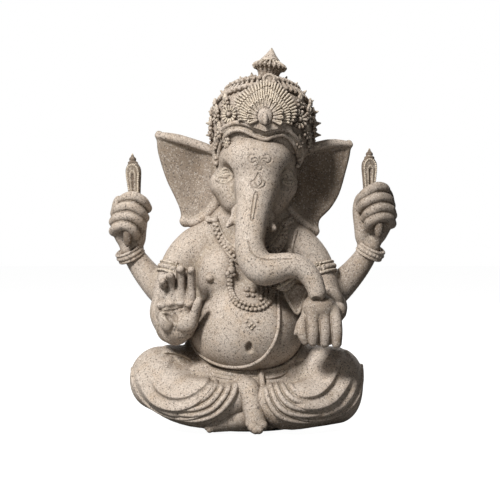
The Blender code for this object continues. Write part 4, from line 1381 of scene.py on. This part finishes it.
def make_sash():
    upper = [(15.8, 80.2), (19, 84), (24, 87.2), (27.4, 87.6), (26.6, 84), (23.4, 80), (19, 78.4)]
    lower = [(19.6, 79), (26, 82.5), (33, 80.5), (33.4, 75.5), (31, 70), (28, 65.6), (24, 70), (21, 75)]
    leaves = [
        common(slab(line(upper, 4), -33.5, 1.6), ball((21.5, -33.4, 83), (8, 2.6, 5.5), (0, 30, 0)), 1.0),
    ]
    leaves.append(common(slab(line(lower, 4), -30.5, 2.0), ball((27, -30.4, 74), (8, 3.2, 10.5)), 1.0))
    veins = [
        sweep([(17, -34.6, 80.6, 0.5), (21.5, -35.6, 83.2, 0.6), (26.6, -34.6, 86.8, 0.4)]),
        sweep([
            (21.4, -32.4, 78, 0.9), (24, -33, 72, 0.9), (28, -32, 66.4, 0.7), (31, -32.4, 72, 0.9),
            (33, -32, 78, 0.8),
        ]),
    ]
    shawl = placed_on(body_form, [(24, 100), (22, 92), (20.5, 84), (22, 78)], lift=0.2)
    drape = sweep([(*spot, 2.6) for spot in shawl])
    sculpt("shoulder_sash", join([join([*leaves, *veins], 0.8), drape], 2), "carved_sandstone")


# ---------------------------------------------------------------- stage

FLOOR_SIZE = 12
FLOOR_GLOW = 0.98       # what the camera sees of the floor and the background, but the figure doesn't
WORLD_LIGHT = 0.02      # what the figure gets from the background
SENSOR, LENS = 36, 74
EYE = (0.00175, -0.6, 0.1015)
AIM = (0, 0, 0.1)
LIGHTS = (              # place, size, power and tint
    ("key", (-0.62, -0.98, 1.08), 0.28, 30.0, (1.0, 0.98, 0.96)),
    ("fill", (-0.15, -1.25, 0.30), 0.40, 1.2, (1.0, 0.97, 0.94)),
    ("back", (0.35, 1.10, 0.65), 0.70, 12.0, (0.97, 0.98, 1.0)),
)


def make_stage():
    """A pale floor and background that look bright but give little light back, and soft lamps."""
    bpy.ops.mesh.primitive_plane_add(size=FLOOR_SIZE)
    floor = bpy.context.object
    floor.name = "floor"
    n = Nodes("floor_pale")
    n.shader.inputs["Base Color"].default_value = colour(0.14, 0.14, 0.14)
    n.shader.inputs["Roughness"].default_value = 0.9
    n.shader.inputs["Emission Color"].default_value = colour(1.0, 1.0, 1.0)
    seen = n.add("LightPath").outputs["Is Camera Ray"]
    n.put(n.shader.inputs["Emission Strength"], n.math("MULTIPLY", seen, FLOOR_GLOW))
    floor.data.materials.append(n.material)

    world = bpy.data.worlds.new("studio")
    world.use_nodes = True
    tree = world.node_tree
    seen = tree.nodes.new("ShaderNodeLightPath").outputs["Is Camera Ray"]
    strength = tree.nodes.new("ShaderNodeMapRange")
    strength.inputs["To Min"].default_value = WORLD_LIGHT
    strength.inputs["To Max"].default_value = 1.0
    tree.links.new(seen, strength.inputs["Value"])
    tree.nodes["Background"].inputs[0].default_value = colour(1.0, 1.0, 1.0)
    tree.links.new(strength.outputs["Result"], tree.nodes["Background"].inputs[1])
    bpy.context.scene.world = world
    bpy.context.scene.view_settings.view_transform = "Standard"

    for name, place, size, power, tint in LIGHTS:
        lamp = bpy.data.lights.new(name, "AREA")
        lamp.size = size
        lamp.energy = power
        lamp.color = tint
        obj = bpy.data.objects.new(name, lamp)
        obj.location = place
        obj.rotation_euler = (Vector(AIM) - Vector(place)).to_track_quat("-Z", "Y").to_euler()
        bpy.context.scene.collection.objects.link(obj)


def make_camera():
    """Level and square on to the figure."""
    data = bpy.data.cameras.new("camera")
    data.sensor_width = SENSOR
    data.lens = LENS
    camera = bpy.data.objects.new("camera", data)
    camera.location = EYE
    camera.rotation_euler = (math.radians(90), 0, 0)
    bpy.context.scene.collection.objects.link(camera)
    bpy.context.scene.camera = camera


def main():
    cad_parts["base_felt"].data.materials.clear()
    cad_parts["base_felt"].data.materials.append(FINISH["felt"])
    make_torso()
    make_seat()
    make_legs()
    make_feet()
    make_waist()
    make_head()
    make_tusks()
    make_ears()
    make_crown()
    make_upper_arms()
    make_raised_arms()
    make_maces()
    make_blessing_hand()
    make_resting_hand()
    make_jewellery()
    make_sash()
    make_stage()
    make_camera()


main()
